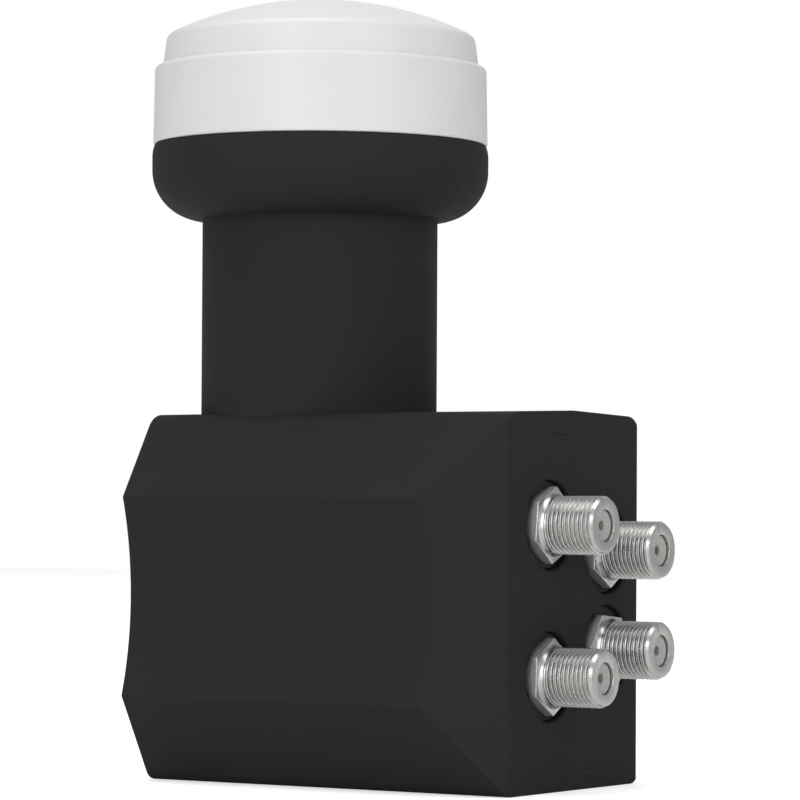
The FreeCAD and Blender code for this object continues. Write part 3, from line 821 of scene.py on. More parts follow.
@dataclass
class HousingShells:
    """The waisted housing with its neck and cup, moulded in a front and a rear shell."""

    neck_radius: float = 20.0
    neck_length: float = 32.7
    cup_radius: float = 28.6
    cup_height: float = 12.75
    cup_round: float = 8.4
    cup_rim_round: float = 0.25
    # How the cup draws in below its rim, so the cap overhangs it a little
    cup_lean: float = 0.42
    cup_lean_height: float = 1.2
    cup_lean_round: float = 5.0
    height: float = 61.2
    crown: float = 0.65
    plain_end: float = 20.2
    socket_end: float = 50.35
    base_half_depth: float = 20.6
    top_half_depth: float = 20.1
    top_round: float = 4.0
    bottom_round: float = 2.5
    ridge_half_depth: float = 28.5
    lower_ridge: float = 14.3
    upper_ridge: float = 47.4
    waist_depth: float = 2.4
    facet_half_depth: float = 20.75
    facet_length: float = 12.0
    facet_waist_length: float = 10.2
    facet_reach: float = 6.0
    wall: float = 2.0
    edge_round: float = 0.2
    # The hairline that the shells' broken edges leave between them
    seam: float = 0.04
    seam_depth: float = 0.2
    hole_radius: float = 7.3
    hole_chamfer: float = 0.25
    slot_length: float = 6.2
    slot_height: float = 0.06
    slot_inset: float = 1.1
    slot_edge: float = 3.3
    # Steps of the mesh: up the waist, round the outline's corners, round the edges of the plain
    # end and of the socket end, round the cup's corners, and round a hole
    waist_steps: int = 24
    outline_steps: int = 10
    plain_steps: int = 6
    socket_steps: int = 4
    cup_steps: int = 20
    hole_columns: int = 128

    @property
    def parting_top(self) -> float:
        """Height of the housing's top at the seam."""
        return self.height + self.crown

    @property
    def cup_bottom(self) -> float:
        """Height of the cup's underside."""
        return self.parting_top + self.neck_length

    @property
    def joint_height(self) -> float:
        """Height at which the cap stands on the cup."""
        return self.cup_bottom + self.cup_height

    @property
    def waist_middle(self) -> float:
        """Height of the waist's middle."""
        return (self.lower_ridge + self.upper_ridge) / 2

    @property
    def waist_half(self) -> float:
        """Half of the waist's height."""
        return (self.upper_ridge - self.lower_ridge) / 2

    @property
    def far(self) -> float:
        """A length that is longer than the part."""
        return 2 * (self.joint_height + self.socket_end)

    def waist_y(self, z: float, inset: float) -> float:
        """How far the bowed waist stands from the seam, at a height.

        Args:
            z: The height.
            inset: How far in from the outer face.

        Returns:
            The distance.
        """
        radius = (self.waist_half**2 + self.waist_depth**2) / (2 * self.waist_depth)
        centre = self.ridge_half_depth - self.waist_depth + radius
        reach = radius + inset
        return centre - math.sqrt(reach**2 - (z - self.waist_middle) ** 2)

    def half_outline(self, inset: float) -> list[Corner]:
        """The outline's +Y half from the seam below to the seam above, inset evenly.

        Args:
            inset: How far in from the outer face.

        Returns:
            Its corners.
        """
        lower = Vector(
            (self.ridge_half_depth - self.base_half_depth, self.lower_ridge)
        ).normalized()
        upper = Vector(
            (self.top_half_depth - self.ridge_half_depth, self.height - self.upper_ridge)
        ).normalized()
        top = Vector((-self.top_half_depth, self.crown)).normalized()
        foot_y = self.base_half_depth - inset * (1 - lower.x) / lower.y
        side = self.ridge_half_depth - inset
        lower_z = self.lower_ridge + inset * (1 - lower.y) / lower.x
        upper_z = self.upper_ridge - inset * (1 - upper.y) / -upper.x
        shoulder = (Vector((-upper.y, upper.x)) + Vector((-top.y, top.x))) * (
            inset / (1 + upper.dot(top))
        )
        ridge_round = max(LEAST_EDGE, self.edge_round - inset)
        corners = [
            Corner(0, inset),
            Corner(foot_y, inset, max(LEAST_CORNER, self.bottom_round - inset)),
            Corner(side, lower_z, ridge_round),
        ]
        for i in range(1, self.waist_steps):
            z = lower_z + (upper_z - lower_z) * i / self.waist_steps
            corners.append(Corner(min(side, self.waist_y(z, inset)), z))
        corners += [
            Corner(side, upper_z, ridge_round),
            Corner(
                self.top_half_depth + shoulder.x,
                self.height + shoulder.y,
                max(LEAST_CORNER, self.top_round - inset),
            ),
            Corner(0, self.parting_top - inset / -top.x),
        ]
        return corners

    def rows(self, inset: float) -> list[RowPoint]:
        """The whole outline, counterclockwise from the seam below, with its inward directions.

        Args:
            inset: How far in from the outer face.

        Returns:
            Its points.
        """
        corners = self.half_outline(inset)
        last = len(corners) - 1
        half = []
        for sample in rounded(corners, closed=False, steps=self.outline_steps):
            if sample.corner == 0:
                angle = math.pi / 2
            elif sample.corner == 1:
                angle = math.pi / 2 + sample.share * math.pi / 2
            elif sample.corner == last - 1:
                angle = math.pi + sample.share * math.pi / 2
            elif sample.corner == last:
                angle = 1.5 * math.pi
            else:
                angle = math.pi
            half.append(RowPoint(sample.u, sample.v, math.cos(angle), math.sin(angle)))
        mirrored = [RowPoint(-p.y, p.z, -p.inward_y, p.inward_z) for p in reversed(half[1:-1])]
        return half + mirrored

    def facet_slope(self, z: float) -> float:
        """How fast the corner facet runs back towards the plain end, at a height.

        Args:
            z: The height.

        Returns:
            How far it runs back for each millimetre that it stands further from the seam.
        """
        ridge = self.facet_length / (self.ridge_half_depth - self.facet_half_depth)
        waist = self.facet_waist_length / (
            self.ridge_half_depth - self.waist_depth - self.facet_half_depth
        )
        half = self.waist_half
        run = self.ridge_half_depth + self.facet_reach - self.facet_half_depth
        bow = run * (waist - ridge)
        off = abs(z - self.waist_middle)
        if off >= half:
            return ridge
        radius = (half**2 + bow**2) / (2 * bow)
        depth = math.sqrt(radius**2 - off**2) - (radius - bow)
        return ridge + depth / run

    def end_profile(self, row: RowPoint, inset: float) -> Path:
        """The rounded way from a row's outline, over the facet, onto the socket end.

        Args:
            row: The row.
            inset: How far in from the outer face.

        Returns:
            (X, distance inwards) points, as many for every row.
        """
        r = max(LEAST_EDGE, self.edge_round - inset)
        slope = self.facet_slope(row.z)
        lean = math.hypot(1, slope)
        end_x = self.socket_end - inset
        end_y = self.facet_half_depth - inset * (lean - 1) / slope
        across = slope * abs(row.inward_y)
        length = math.hypot(1, across)
        offset = end_x - (abs(row.y) - end_y) * slope - r * length
        first = (offset + across * r, r)
        turn = -math.atan2(across, 1)
        if across > LEVEL and abs(row.y) > end_y and first[0] <= end_x - r:
            second = (end_x - r, (end_x - r - offset) / across)
        else:
            first = second = (end_x - r, r)
            turn = -math.atan(slope) if abs(row.y) > end_y else -math.pi / 4
        steps = self.socket_steps
        return arc(first, r, -math.pi / 2, turn, steps) + arc(second, r, turn, 0.0, steps)

    def block(self, inset: float) -> bpy.types.Object:
        """The housing without its neck, as one closed block.

        Args:
            inset: How far in from the outer face.

        Returns:
            The block.
        """
        r = max(LEAST_EDGE, self.edge_round - inset)
        start_x = inset - self.plain_end
        build = bmesh.new()
        loops = []
        for row in self.rows(inset):
            path = arc((start_x + r, r), r, math.pi, 1.5 * math.pi, self.plain_steps)
            path += self.end_profile(row, inset)
            loops.append(
                [
                    build.verts.new((x, row.y + s * row.inward_y, row.z + s * row.inward_z))
                    for x, s in path
                ]
            )
        count = len(loops)
        for i, near in enumerate(loops):
            further = loops[(i + 1) % count]
            for j in range(len(near) - 1):
                build.faces.new((near[j], further[j], further[j + 1], near[j + 1]))
        build.faces.new([loop[0] for loop in reversed(loops)])
        build.faces.new([loop[-1] for loop in loops])
        return mesh_piece("housing_block", build)

    def stem(self, inset: float, top: float) -> bpy.types.Object:
        """Neck and cup turned in one, inset evenly.

        Args:
            inset: How far in from the outer face.
            top: The height at which the cup ends.

        Returns:
            The stem.
        """
        foot = self.waist_middle
        neck = self.neck_radius - inset
        cup = self.cup_radius - inset
        underside = self.cup_bottom + inset
        rim = self.cup_rim_round if inset == 0 else 0.0
        corners = [
            Corner(foot, 0),
            Corner(foot, neck),
            Corner(underside, neck),
            Corner(underside, cup, self.cup_round - inset),
            Corner(top - self.cup_lean_height, cup, self.cup_lean_round),
            Corner(top, cup - self.cup_lean, rim),
            Corner(top, 0),
        ]
        return turned("stem", rounded_path(corners, closed=False, steps=self.cup_steps))

    def hole_cutters(self, sockets: Sequence["SocketPlace"]) -> bpy.types.Object:
        """What the socket holes take out of the side face, with their rims broken.

        Args:
            sockets: Where the sockets are.

        Returns:
            The cutters as one object.
        """
        start = self.socket_end - 2 * self.wall
        rim = self.hole_radius + self.hole_chamfer
        path = [
            (start, 0.0),
            (start, self.hole_radius),
            (self.socket_end - self.hole_chamfer, self.hole_radius),
            (self.socket_end, rim),
            (self.socket_end + self.wall, rim),
            (self.socket_end + self.wall, 0.0),
        ]
        cutters = None
        for socket in sockets:
            centre = Vector((0, socket.y, socket.z))
            cutter = turned("hole", path, Axis.SOCKET, centre, columns=self.hole_columns)
            cutters = cutter if cutters is None else joined(cutters, cutter, "UNION")
        return cutters

    def slot_cutter(self, side: int, height: float) -> bpy.types.Object:
        """What a release slot takes out of the side face, on one side of the seam.

        Args:
            side: -1 for the front shell, 1 for the rear one.
            height: The height of its middle.

        Returns:
            The cutter.
        """
        near = side * self.slot_inset
        away = side * (self.slot_inset + self.slot_length)
        half = self.slot_height / 2
        low = Vector((self.socket_end - 2 * self.wall, min(near, away), height - half))
        high = Vector((self.socket_end + self.wall, max(near, away), height + half))
        return box_piece("slot", low, high)

    def seam_groove(self) -> bpy.types.Object:
        """The fine groove left on the outside where the shells' broken edges meet.

        Returns:
            The groove, to cut with.
        """
        low = Vector((-self.far, -self.seam / 2, -self.far))
        groove = box_piece("seam_groove", low, -low)
        return joined(groove, self.body(self.seam_depth, self.joint_height), "DIFFERENCE")

    def body(self, inset: float, top: float) -> bpy.types.Object:
        """The housing, its neck and its cup as one solid body, inset evenly.

        Args:
            inset: How far in from the outer face.
            top: The height at which the cup ends.

        Returns:
            The body.
        """
        return joined(self.block(inset), self.stem(inset, top), "UNION")

    def build(self, sockets: Sequence["SocketPlace"], material: bpy.types.Material) -> None:
        """Builds both shells.

        Args:
            sockets: Where the sockets are.
            material: The shells' material.
        """
        cavity = self.body(self.wall, self.joint_height + self.wall)
        body = self.body(0.0, self.joint_height)
        joined(body, cavity, "DIFFERENCE")
        joined(body, self.hole_cutters(sockets), "DIFFERENCE")
        joined(body, self.slot_cutter(-1, self.height - self.slot_edge), "DIFFERENCE")
        joined(body, self.slot_cutter(1, self.slot_edge), "DIFFERENCE")
        joined(body, self.seam_groove(), "DIFFERENCE")
        for side, name in ((-1, "front_shell"), (1, "rear_shell")):
            half = body.copy()
            half.data = body.data.copy()
            half.name = f"moulded_{name}"
            bpy.context.scene.collection.objects.link(half)
            away = side * self.far
            low = Vector((-self.far, min(0, away), -self.far))
            high = Vector((self.far, max(0, away), self.far))
            joined(half, box_piece("side", low, high), "INTERSECT")
            dress(shaded(half), material, "housing_plastic", name)
        bpy.data.objects.remove(body)


# The cap


@dataclass
class FeedCap:
    """The white cap over the horn's mouth: a skirt, a narrower tier and a low dome."""

    bottom: float = 107.3
    radius: float = 28.45
    skirt_height: float = 13.3
    taper: float = 0.25
    step_round: float = 0.8
    step: float = 1.3
    tier_height: float = 5.2
    tier_taper: float = 0.7
    edge_round: float = 1.6
    dome_rise: float = 6.1
    wall: float = 2.0
    rim_round: float = 0.35
    # Steps of the mesh round the skirt's corners, round the tier's edge and over the dome
    skirt_steps: int = 8
    edge_steps: int = 10
    dome_steps: int = 32

    def dome(self, inset: float, tier: float, step_height: float) -> Path:
        """The tier's slanting side, its rounded edge and the dome, up to the axis.

        Args:
            inset: How far in from the outer face.
            tier: The tier's radius where it leaves the step.
            step_height: The height of that place.

        Returns:
            Its (height, radius) points.
        """
        edge = self.radius - self.taper - self.step - self.tier_taper
        dome_radius = (edge**2 + self.dome_rise**2) / (2 * self.dome_rise)
        centre = self.bottom + self.skirt_height + self.tier_height + self.dome_rise - dome_radius
        reach = dome_radius - inset
        fillet = max(LEAST_CORNER, self.edge_round - inset)
        side = Vector((self.tier_height, -self.tier_taper)).normalized()
        outward = Vector((self.tier_taper, self.tier_height)).normalized()
        start = Vector((step_height, tier)) - outward * fillet - Vector((centre, 0))
        along = start.dot(side)
        travel = -along + math.sqrt(along**2 - start.length_squared + (reach - fillet) ** 2)
        middle = start + side * travel
        first = math.atan2(outward.y, outward.x)
        last = math.atan2(middle.y, middle.x)
        tier_edge = arc((centre + middle.x, middle.y), fillet, first, last, self.edge_steps)
        return tier_edge + arc((centre, 0.0), reach, last, 0.0, self.dome_steps)[1:]

    def build(self, material: bpy.types.Material) -> None:
        """Builds the cap.

        Args:
            material: The cap's material.
        """
        skirt = self.radius - self.taper
        bore = skirt - self.wall
        step_height = self.bottom + self.skirt_height
        tier = skirt - self.step
        inner_tier = tier - self.wall
        corners = [
            Corner(self.bottom, bore),
            Corner(self.bottom, self.radius, self.rim_round),
            Corner(step_height, skirt, self.step_round),
            Corner(step_height, tier),
        ]
        outside = rounded_path(corners, closed=False, steps=self.skirt_steps)
        outside += self.dome(0.0, tier, step_height)
        ceiling = step_height - self.wall
        inside = [(ceiling, bore), (ceiling, inner_tier)]
        inside += self.dome(self.wall, inner_tier, ceiling)
        path = outside + list(reversed(inside)) + [outside[0]]
        piece = turned("moulded_feed_cap", path)
        dress(shaded(piece), material, "cap_plastic", "feed_cap")


# The sockets


class SocketPlace(NamedTuple):
    """Where a socket stands, and how far its hexagon is turned, in degrees."""

    name: str
    y: float
    z: float
    turn: float


# The angle between two of a hexagon's corners
SIXTH = math.pi / 3
# How far each hexagon is turned from having a corner on top, as seen in the photograph
HEXAGON_TURNS = {"upper_front": -6.5, "lower_front": -1.0, "upper_rear": 0.0, "lower_rear": 25.0}


def socket_places() -> list[SocketPlace]:
    """Reads where the sockets are from the record's mounts.

    Returns:
        The sockets' places, in millimetres.
    """
    places = []
    for mount in frame["record"]["mounts"]:
        name = mount["name"].removeprefix("thread_")
        if name in HEXAGON_TURNS:
            _, y, z = (v / MM for v in mount["pos_m"])
            places.append(SocketPlace(name, y, z, HEXAGON_TURNS[name]))
    return places


@dataclass(frozen=True)
class BarrelThread:
    """The 32 turns to an inch that Geometry Nodes cut into a socket's barrel."""

    radius: float = 9.525 / 2
    pitch: float = 25.4 / 32
    depth: float = 0.44
    start: float = 51.95
    end: float = 60.65
    run_in: float = 0.5
    crest: float = 0.2
    root: float = 0.16

    def tree(self) -> bpy.types.NodeTree:
        """Builds the tree.

        A point at least as far out as the thread's root moves in towards the barrel's axis,
        to the depth that the thread has there. The depth depends on how far along and how
        far round the barrel the point is, so the turns form one right-handed helix.

        Returns:
            The tree.
        """
        tree = bpy.data.node_groups.new("barrel_thread", "GeometryNodeTree")
        face = tree.interface
        face.new_socket("Geometry", in_out="INPUT", socket_type="NodeSocketGeometry")
        places = ("Axis Y", "Axis Z", "Start", "End", "Run In")
        sizes = ("Radius", "Pitch", "Depth", "Crest", "Root")
        for name in places + sizes:
            face.new_socket(name, in_out="INPUT", socket_type="NodeSocketFloat")
        face.new_socket("Material", in_out="INPUT", socket_type="NodeSocketMaterial")
        face.new_socket("Geometry", in_out="OUTPUT", socket_type="NodeSocketGeometry")
        given = add_node(tree, "NodeGroupInput").outputs

        def maths(operation: str, *values: object, **settings: object) -> bpy.types.NodeSocket:
            """Works out one step from values or other nodes' outputs.

            Args:
                operation: The step.
                *values: What it works on.
                **settings: The node's own properties.

            Returns:
                The result.
            """
            inputs = dict(enumerate(values))
            node = add_node(tree, "ShaderNodeMath", inputs, operation=operation, **settings)
            return node.outputs[0]

        position = add_node(tree, "GeometryNodeInputPosition")
        parts = add_node(tree, "ShaderNodeSeparateXYZ", {0: position.outputs[0]}).outputs
        y = maths("SUBTRACT", parts["Y"], given["Axis Y"])
        z = maths("SUBTRACT", parts["Z"], given["Axis Z"])
        reach = maths("SQRT", maths("ADD", maths("MULTIPLY", y, y), maths("MULTIPLY", z, z)))
        turn = maths("DIVIDE", maths("ARCTAN2", z, y), math.tau)
        phase = maths("FRACT", maths("SUBTRACT", maths("DIVIDE", parts["X"], given["Pitch"]), turn))
        ramp = maths("ABSOLUTE", maths("SUBTRACT", maths("MULTIPLY", phase, 2.0), 1.0))
        flank = maths("SUBTRACT", maths("SUBTRACT", 1.0, given["Crest"]), given["Root"])
        groove = maths("DIVIDE", maths("SUBTRACT", ramp, given["Crest"]), flank, use_clamp=True)
        fade = add_node(
            tree,
            "ShaderNodeMapRange",
            {
                "Value": maths("SUBTRACT", parts["X"], given["Start"]),
                "From Max": given["Run In"],
            },
            interpolation_type="SMOOTHSTEP",
        ).outputs["Result"]
        cut = maths("MULTIPLY", maths("MULTIPLY", groove, fade), given["Depth"])
        wanted = maths("MINIMUM", reach, maths("SUBTRACT", given["Radius"], cut))
        scale = maths("DIVIDE", wanted, reach)
        moved = add_node(
            tree,
            "ShaderNodeCombineXYZ",
            {
                "X": parts["X"],
                "Y": maths("ADD", given["Axis Y"], maths("MULTIPLY", y, scale)),
                "Z": maths("ADD", given["Axis Z"], maths("MULTIPLY", z, scale)),
            },
        )
        outside = maths("GREATER_THAN", reach, maths("SUBTRACT", given["Radius"], given["Depth"]))
        beyond = maths("GREATER_THAN", parts["X"], given["Start"])
        within = maths("LESS_THAN", parts["X"], maths("ADD", given["End"], given["Pitch"]))
        chosen = maths("MULTIPLY", maths("MULTIPLY", outside, beyond), within)
        threaded = add_node(
            tree,
            "GeometryNodeSetPosition",
            {
                "Geometry": given["Geometry"],
                "Selection": chosen,
                "Position": moved.outputs[0],
            },
        )
        real = add_node(tree, "GeometryNodeRealizeInstances", {0: threaded.outputs[0]})
        painted = add_node(
            tree,
            "GeometryNodeSetMaterial",
            {"Geometry": real.outputs[0], "Material": given["Material"]},
        )
        add_node(tree, "NodeGroupOutput", {0: painted.outputs[0]})
        return tree

    def cut(
        self,
        piece: bpy.types.Object,
        tree: bpy.types.NodeTree,
        place: SocketPlace,
        material: bpy.types.Material,
    ) -> bpy.types.Object:
        """Cuts the thread into a barrel.

        Args:
            piece: The socket's body.
            tree: The thread's tree.
            place: Where the socket stands.
            material: The body's material.

        Returns:
            The body with its thread as plain mesh.
        """
        step = piece.modifiers.new("thread", "NODES")
        step.node_group = tree
        values = {
            "Axis Y": place.y * MM,
            "Axis Z": place.z * MM,
            "Radius": self.radius * MM,
            "Pitch": self.pitch * MM,
            "Depth": self.depth * MM,
            "Start": self.start * MM,
            "End": self.end * MM,
            "Run In": self.run_in * MM,
            "Crest": self.crest,
            "Root": self.root,
            "Material": material,
        }
        for item in tree.interface.items_tree:
            if item.in_out == "INPUT" and item.name in values:
                step[item.identifier] = values[item.name]
        return settled(piece)


@dataclass
class CoaxSocket:
    """One coaxial socket: a plated body with a hexagon and a threaded barrel, and its core."""

    place: SocketPlace
    chassis_face: float = 48.05
    washer: float = 1.2
    hex_face: float = 51.1
    tip: float = 60.65
    across_flats: float = 11.0
    hex_seat_radius: float = 5.6
    # How far the rear chamfer cuts into the flats' middles
    hex_seat_step: float = 0.02
    hex_chamfer_angle: float = 30.0
    hex_corner_round: float = 0.3
    hex_edge_round: float = 0.17
    collar_radius: float = 5.2
    collar_length: float = 0.7
    collar_round: float = 0.08
    shank_radius: float = 4.0
    shank_length: float = 5.4
    mouth_radius: float = 2.6
    mouth_round: float = 0.12
    lip: float = 0.48
    dish_depth: float = 0.42
    # The gap between the core's face and the mouth's wall
    groove_width: float = 0.22
    groove_depth: float = 0.25
    core_radius: float = 3.3
    core_fit: float = 0.02
    core_round: float = 0.06
    tip_chamfer: float = 0.38
    tip_round: float = 0.05
    pin_hole_radius: float = 0.8
    pin_hole_depth: float = 1.2
    pin_hole_round: float = 0.1
    contact_radius: float = 1.1
    # Steps of the mesh: on each flat, along each turn of the thread, round the body's edges,
    # round the core's edges and round the core
    flat_steps: int = 18
    turn_steps: int = 12
    body_steps: int = 4
    core_steps: int = 5
    core_columns: int = 96
    # From how many degrees an edge is sharp: the thread's edges are all rolled round
    body_sharp: float = 75.0
    core_sharp: float = 40.0

    @property
    def corner_centre(self) -> float:
        """How far from the axis the rounding of a hexagon's corner has its centre."""
        return (self.across_flats / 2 - self.hex_corner_round) / math.cos(SIXTH / 2)

    def hexagon(self, angle: float) -> float:
        """The hexagon's radius at an angle from one of its corners.

        Args:
            angle: The angle, in radians.

        Returns:
            The radius.
        """
        off = abs((angle + SIXTH / 2) % SIXTH - SIXTH / 2)
        if off < self.corner_reach():
            across = self.hex_corner_round**2 - (self.corner_centre * math.sin(off)) ** 2
            return self.corner_centre * math.cos(off) + math.sqrt(across)
        return self.across_flats / 2 / math.cos(SIXTH / 2 - off)

    def corner_reach(self) -> float:
        """How far round, in radians, a corner's rounding goes to each side."""
        side = self.hex_corner_round * math.sin(SIXTH / 2)
        return math.atan2(side, self.corner_centre + self.hex_corner_round * math.cos(SIXTH / 2))

    def angles(self) -> list[float]:
        """The angles of the body's columns, finer at the hexagon's corners.

        Returns:
            The angles, in radians.
        """
        reach = self.corner_reach()
        steps = self.flat_steps
        found = []
        for corner in range(6):
            middle = corner * SIXTH
            found += [middle + reach * share for share in (-1.0, -0.5, 0.0, 0.5)]
            gap = SIXTH - 2 * reach
            found += [middle + reach + gap * i / steps for i in range(steps)]
        return found

    def body_path(self, angle: float, thread: BarrelThread) -> Path:
        """The body's closed (X, radius) path at one angle from a corner.

        Args:
            angle: The angle, in radians.
            thread: The barrel's thread.

        Returns:
            The path, with as many points at every angle.
        """
        back = self.chassis_face - self.shank_length
        seat = self.chassis_face + self.washer
        hexagon = self.hexagon(angle)
        seat_radius = min(hexagon - self.hex_seat_step, self.hex_seat_radius)
        chamfer = (hexagon - seat_radius) * math.tan(math.radians(self.hex_chamfer_angle))
        bore = self.core_radius + self.core_fit
        barrel_start = self.hex_face + self.collar_length
        barrel_end = self.tip - self.tip_chamfer
        turns = self.turn_steps * math.ceil((barrel_end - barrel_start) / thread.pitch)
        corners = [
            Corner(back, bore),
            Corner(self.tip - self.lip, bore),
            Corner(self.tip - self.lip, self.mouth_radius),
            Corner(self.tip, self.mouth_radius, self.mouth_round),
            Corner(self.tip, thread.radius - self.tip_chamfer, self.tip_round),
        ]
        for i in range(turns + 1):
            along = barrel_end + (barrel_start - barrel_end) * i / turns
            corners.append(Corner(along, thread.radius))
        corners += [
            Corner(self.hex_face, self.collar_radius, self.collar_round),
            Corner(self.hex_face, hexagon, self.hex_edge_round),
            Corner(seat + chamfer, hexagon),
            Corner(seat, seat_radius),
            Corner(seat, self.shank_radius),
            Corner(back, self.shank_radius),
        ]
        return rounded_path(corners, steps=self.body_steps)

    def core_path(self) -> Path:
        """The insulating core's closed (X, radius) path.

        Returns:
            Its points.
        """
        back = self.chassis_face - self.shank_length
        face = self.tip - self.lip
        hole_face = face - self.dish_depth
        hole_end = hole_face - self.pin_hole_depth
        seat = self.contact_radius + self.core_fit
        corners = [
            Corner(back, seat),
            Corner(hole_end, seat),
            Corner(hole_end, self.pin_hole_radius),
            Corner(hole_face, self.pin_hole_radius, self.pin_hole_round),
            Corner(face, self.mouth_radius - self.groove_width, self.core_round),
            Corner(face - self.groove_depth, self.mouth_radius - self.groove_width / 2),
            Corner(face - self.groove_depth, self.core_radius),
            Corner(back, self.core_radius),
        ]
        return rounded_path(corners, steps=self.core_steps)

    def build(
        self,
        thread: BarrelThread,
        tree: bpy.types.NodeTree,
        metal: bpy.types.Material,
        plastic: bpy.types.Material,
    ) -> None:
        """Builds the body and its core.

        Args:
            thread: The barrel's thread.
            tree: The thread's tree.
            metal: The body's material.
            plastic: The core's material.
        """
        name = self.place.name
        centre = Vector((0, self.place.y, self.place.z))
        local = self.angles()
        turn = math.radians(self.place.turn)
        paths = [self.body_path(angle, thread) for angle in local]
        spread = [angle + turn for angle in local]
        body = swept(f"plated_body_{name}", spread, paths, Axis.SOCKET, centre, ring=True)
        thread.cut(body, tree, self.place, metal)
        shaded(body, self.body_sharp)
        dress(body, metal, "plated_metal", f"connector_body_{name}")
        path = self.core_path()
        core = turned(f"insulator_{name}", path, Axis.SOCKET, centre, True, self.core_columns)
        shaded(core, self.core_sharp)
        dress(core, plastic, "insulator_plastic", f"connector_insulator_{name}")


# The rest of the pieces keep their CAD meshes


def paint_nodes(materials: dict[str, bpy.types.Material]) -> None:
    """Gives every CAD node the material of its slot.

    Args:
        materials: The material of each of the record's slots.
    """
    slots = {part["node"]: part["material_slot"] for part in frame["record"]["subparts"]}
    for name, node in frame["nodes"].items():
        if not node.material_slots:
            node.data.materials.append(None)
        for holder in node.material_slots:
            holder.material = materials[slots[name]]
        LOG.info("%s: painted as %s", name, slots[name])


# The studio


@dataclass(frozen=True)
class StudioCamera:
    """The camera, worked out from the photograph. Angles are in degrees, lengths in millimetres."""

    azimuth: float = 32.97
    elevation: float = -1.5
    roll: float = 0.3
    distance: float = 666.87
    target_along: float = 14.16
    target_height: float = 64.12
    lens: float = 176.427
    sensor: float = 36.0
    # The picture is 800 pixels wide, and its middle is 2.37 pixels off the camera's axis
    shift_x: float = -2.37 / 800
    # What the camera can see, in metres
    clip_start: float = 0.01
    clip_end: float = 20.0

    def build(self) -> None:
        """Places the camera and makes it the scene's own."""
        a = math.radians(self.azimuth)
        e = math.radians(self.elevation)
        r = math.radians(self.roll)
        back = Vector((math.sin(a) * math.cos(e), -math.cos(a) * math.cos(e), math.sin(e)))
        side = Vector((math.cos(a), math.sin(a), 0))
        up = back.cross(side)
        right = side * math.cos(r) + up * math.sin(r)
        top = up * math.cos(r) - side * math.sin(r)
        target = Vector(
            (self.target_along * math.cos(a), self.target_along * math.sin(a), self.target_height)
        )
        data = bpy.data.cameras.new("studio_camera")
        data.lens = self.lens
        data.sensor_width = self.sensor
        data.sensor_fit = "HORIZONTAL"
        data.shift_x = self.shift_x
        data.clip_start = self.clip_start
        data.clip_end = self.clip_end
        camera = bpy.data.objects.new("studio_camera", data)
        turn = Matrix((right, top, back)).transposed().to_4x4()
        camera.matrix_world = Matrix.Translation((target + back * self.distance) * MM) @ turn
        bpy.context.scene.collection.objects.link(camera)
        bpy.context.scene.camera = camera


class SoftBox(NamedTuple):
    """A soft studio light: its name, place, size and power, in metres and watts."""

    name: str
    place: tuple[float, float, float]
    width: float
    height: float
    power: float


SOFT_BOXES = (
    SoftBox("key", (0.34, -1.32, 0.42), 0.4, 1.2, 6.2),
    SoftBox("fill", (1.3, -0.5, 0.6), 0.8, 0.9, 3.7),
    SoftBox("top", (-0.1, -0.15, 1.5), 1.2, 1.2, 11.0),
    SoftBox("back", (-0.6, 1.3, 0.9), 1.0, 0.8, 1.0),
)


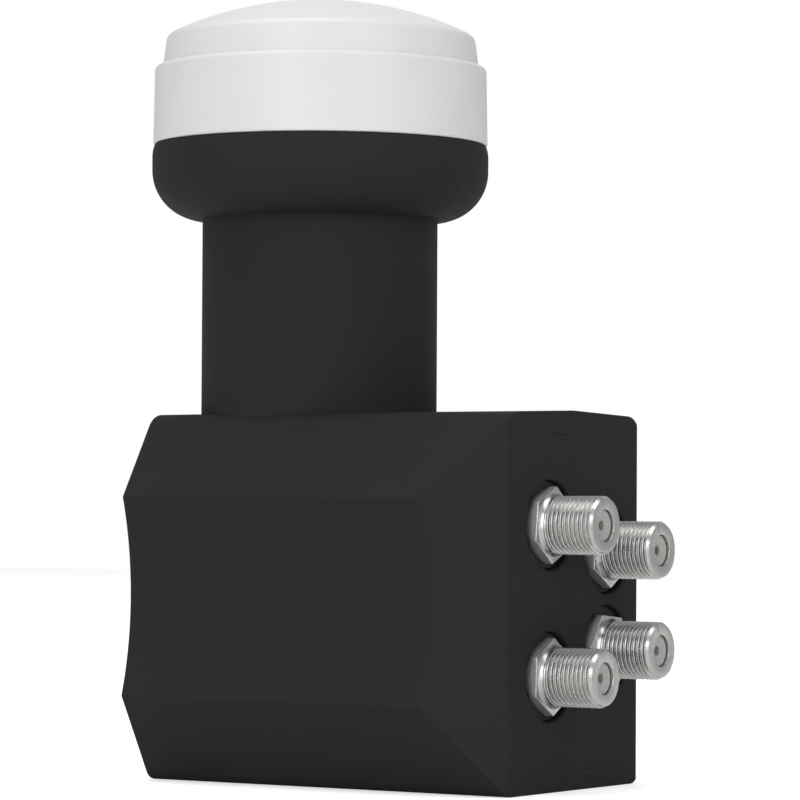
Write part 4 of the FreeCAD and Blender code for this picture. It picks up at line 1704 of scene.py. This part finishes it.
@dataclass(frozen=True)
class Studio:
    """A plain pale floor, a pale surround and soft lights."""

    # The floor's width, and how far it lies below the object, in metres
    floor_size: float = 3.2
    floor_gap: float = 0.00002
    floor_colour: str = "#F4F4F3"
    floor_roughness: float = 0.8
    floor_index: float = 1.4
    # The camera sees the paper a little overexposed, so that it meets the surround without a line
    floor_glow: float = 0.5
    surround: float = 1.0
    ambient: float = 0.42
    aim: tuple[float, float, float] = (0.012, 0.0, 0.07)

    def surroundings(self) -> None:
        """Makes the surround: white behind the object, dimmer in what the object reflects."""
        world = bpy.data.worlds.new("pale_surround")
        world.use_nodes = True
        tree = world.node_tree
        tree.nodes.clear()
        rays = add_node(tree, "ShaderNodeLightPath")
        strength = add_node(
            tree,
            "ShaderNodeMix",
            {0: rays.outputs["Is Camera Ray"], 2: self.ambient, 3: self.surround},
        )
        sky = add_node(
            tree,
            "ShaderNodeBackground",
            {"Color": (1.0, 1.0, 1.0, 1.0), "Strength": strength.outputs[0]},
        )
        add_node(tree, "ShaderNodeOutputWorld", {"Surface": sky.outputs[0]})
        bpy.context.scene.world = world

    def floor(self) -> None:
        """Lays the floor just under the object."""
        build = bmesh.new()
        bmesh.ops.create_grid(build, x_segments=2, y_segments=2, size=self.floor_size / 2)
        bmesh.ops.translate(build, vec=(0, 0, -self.floor_gap), verts=build.verts)
        mesh = bpy.data.meshes.new("floor")
        build.to_mesh(mesh)
        build.free()
        floor = bpy.data.objects.new("floor", mesh)
        bpy.context.scene.collection.objects.link(floor)
        surface = Surface(
            "floor_paper", self.floor_colour, self.floor_roughness, IOR=self.floor_index
        )
        surface.shader.inputs["Emission Color"].default_value = (1.0, 1.0, 1.0, 1.0)
        rays = add_node(surface.tree, "ShaderNodeLightPath")
        glow = surface.spread(rays.outputs["Is Camera Ray"], 0.0, self.floor_glow, 0.0, 1.0)
        surface.tree.links.new(glow, surface.shader.inputs["Emission Strength"])
        mesh.materials.append(surface.material)

    def lights(self) -> None:
        """Hangs the soft boxes, all turned to the object."""
        for box in SOFT_BOXES:
            data = bpy.data.lights.new(box.name, "AREA")
            data.shape = "RECTANGLE"
            data.size = box.width
            data.size_y = box.height
            data.energy = box.power
            light = bpy.data.objects.new(box.name, data)
            light.location = box.place
            away = Vector(box.place) - Vector(self.aim)
            light.rotation_euler = away.to_track_quat("Z", "Y").to_euler()
            bpy.context.scene.collection.objects.link(light)

    def build(self) -> None:
        """Builds the studio."""
        self.surroundings()
        self.floor()
        self.lights()
        bpy.context.scene.view_settings.view_transform = "Standard"


def main() -> None:
    """Builds the pieces in order, then the studio."""
    logging.basicConfig(level=logging.INFO, format="%(message)s")
    materials = {slot: finish.material() for slot, finish in FINISHES.items()}
    places = socket_places()
    paint_nodes(materials)
    HousingShells().build(places, materials["housing_plastic"])
    FeedCap().build(materials["cap_plastic"])
    thread = BarrelThread()
    tree = thread.tree()
    for place in places:
        socket = CoaxSocket(place)
        socket.build(thread, tree, materials["plated_metal"], materials["insulator_plastic"])
    Studio().build()
    StudioCamera().build()


if __name__ == "__main__":
    main()
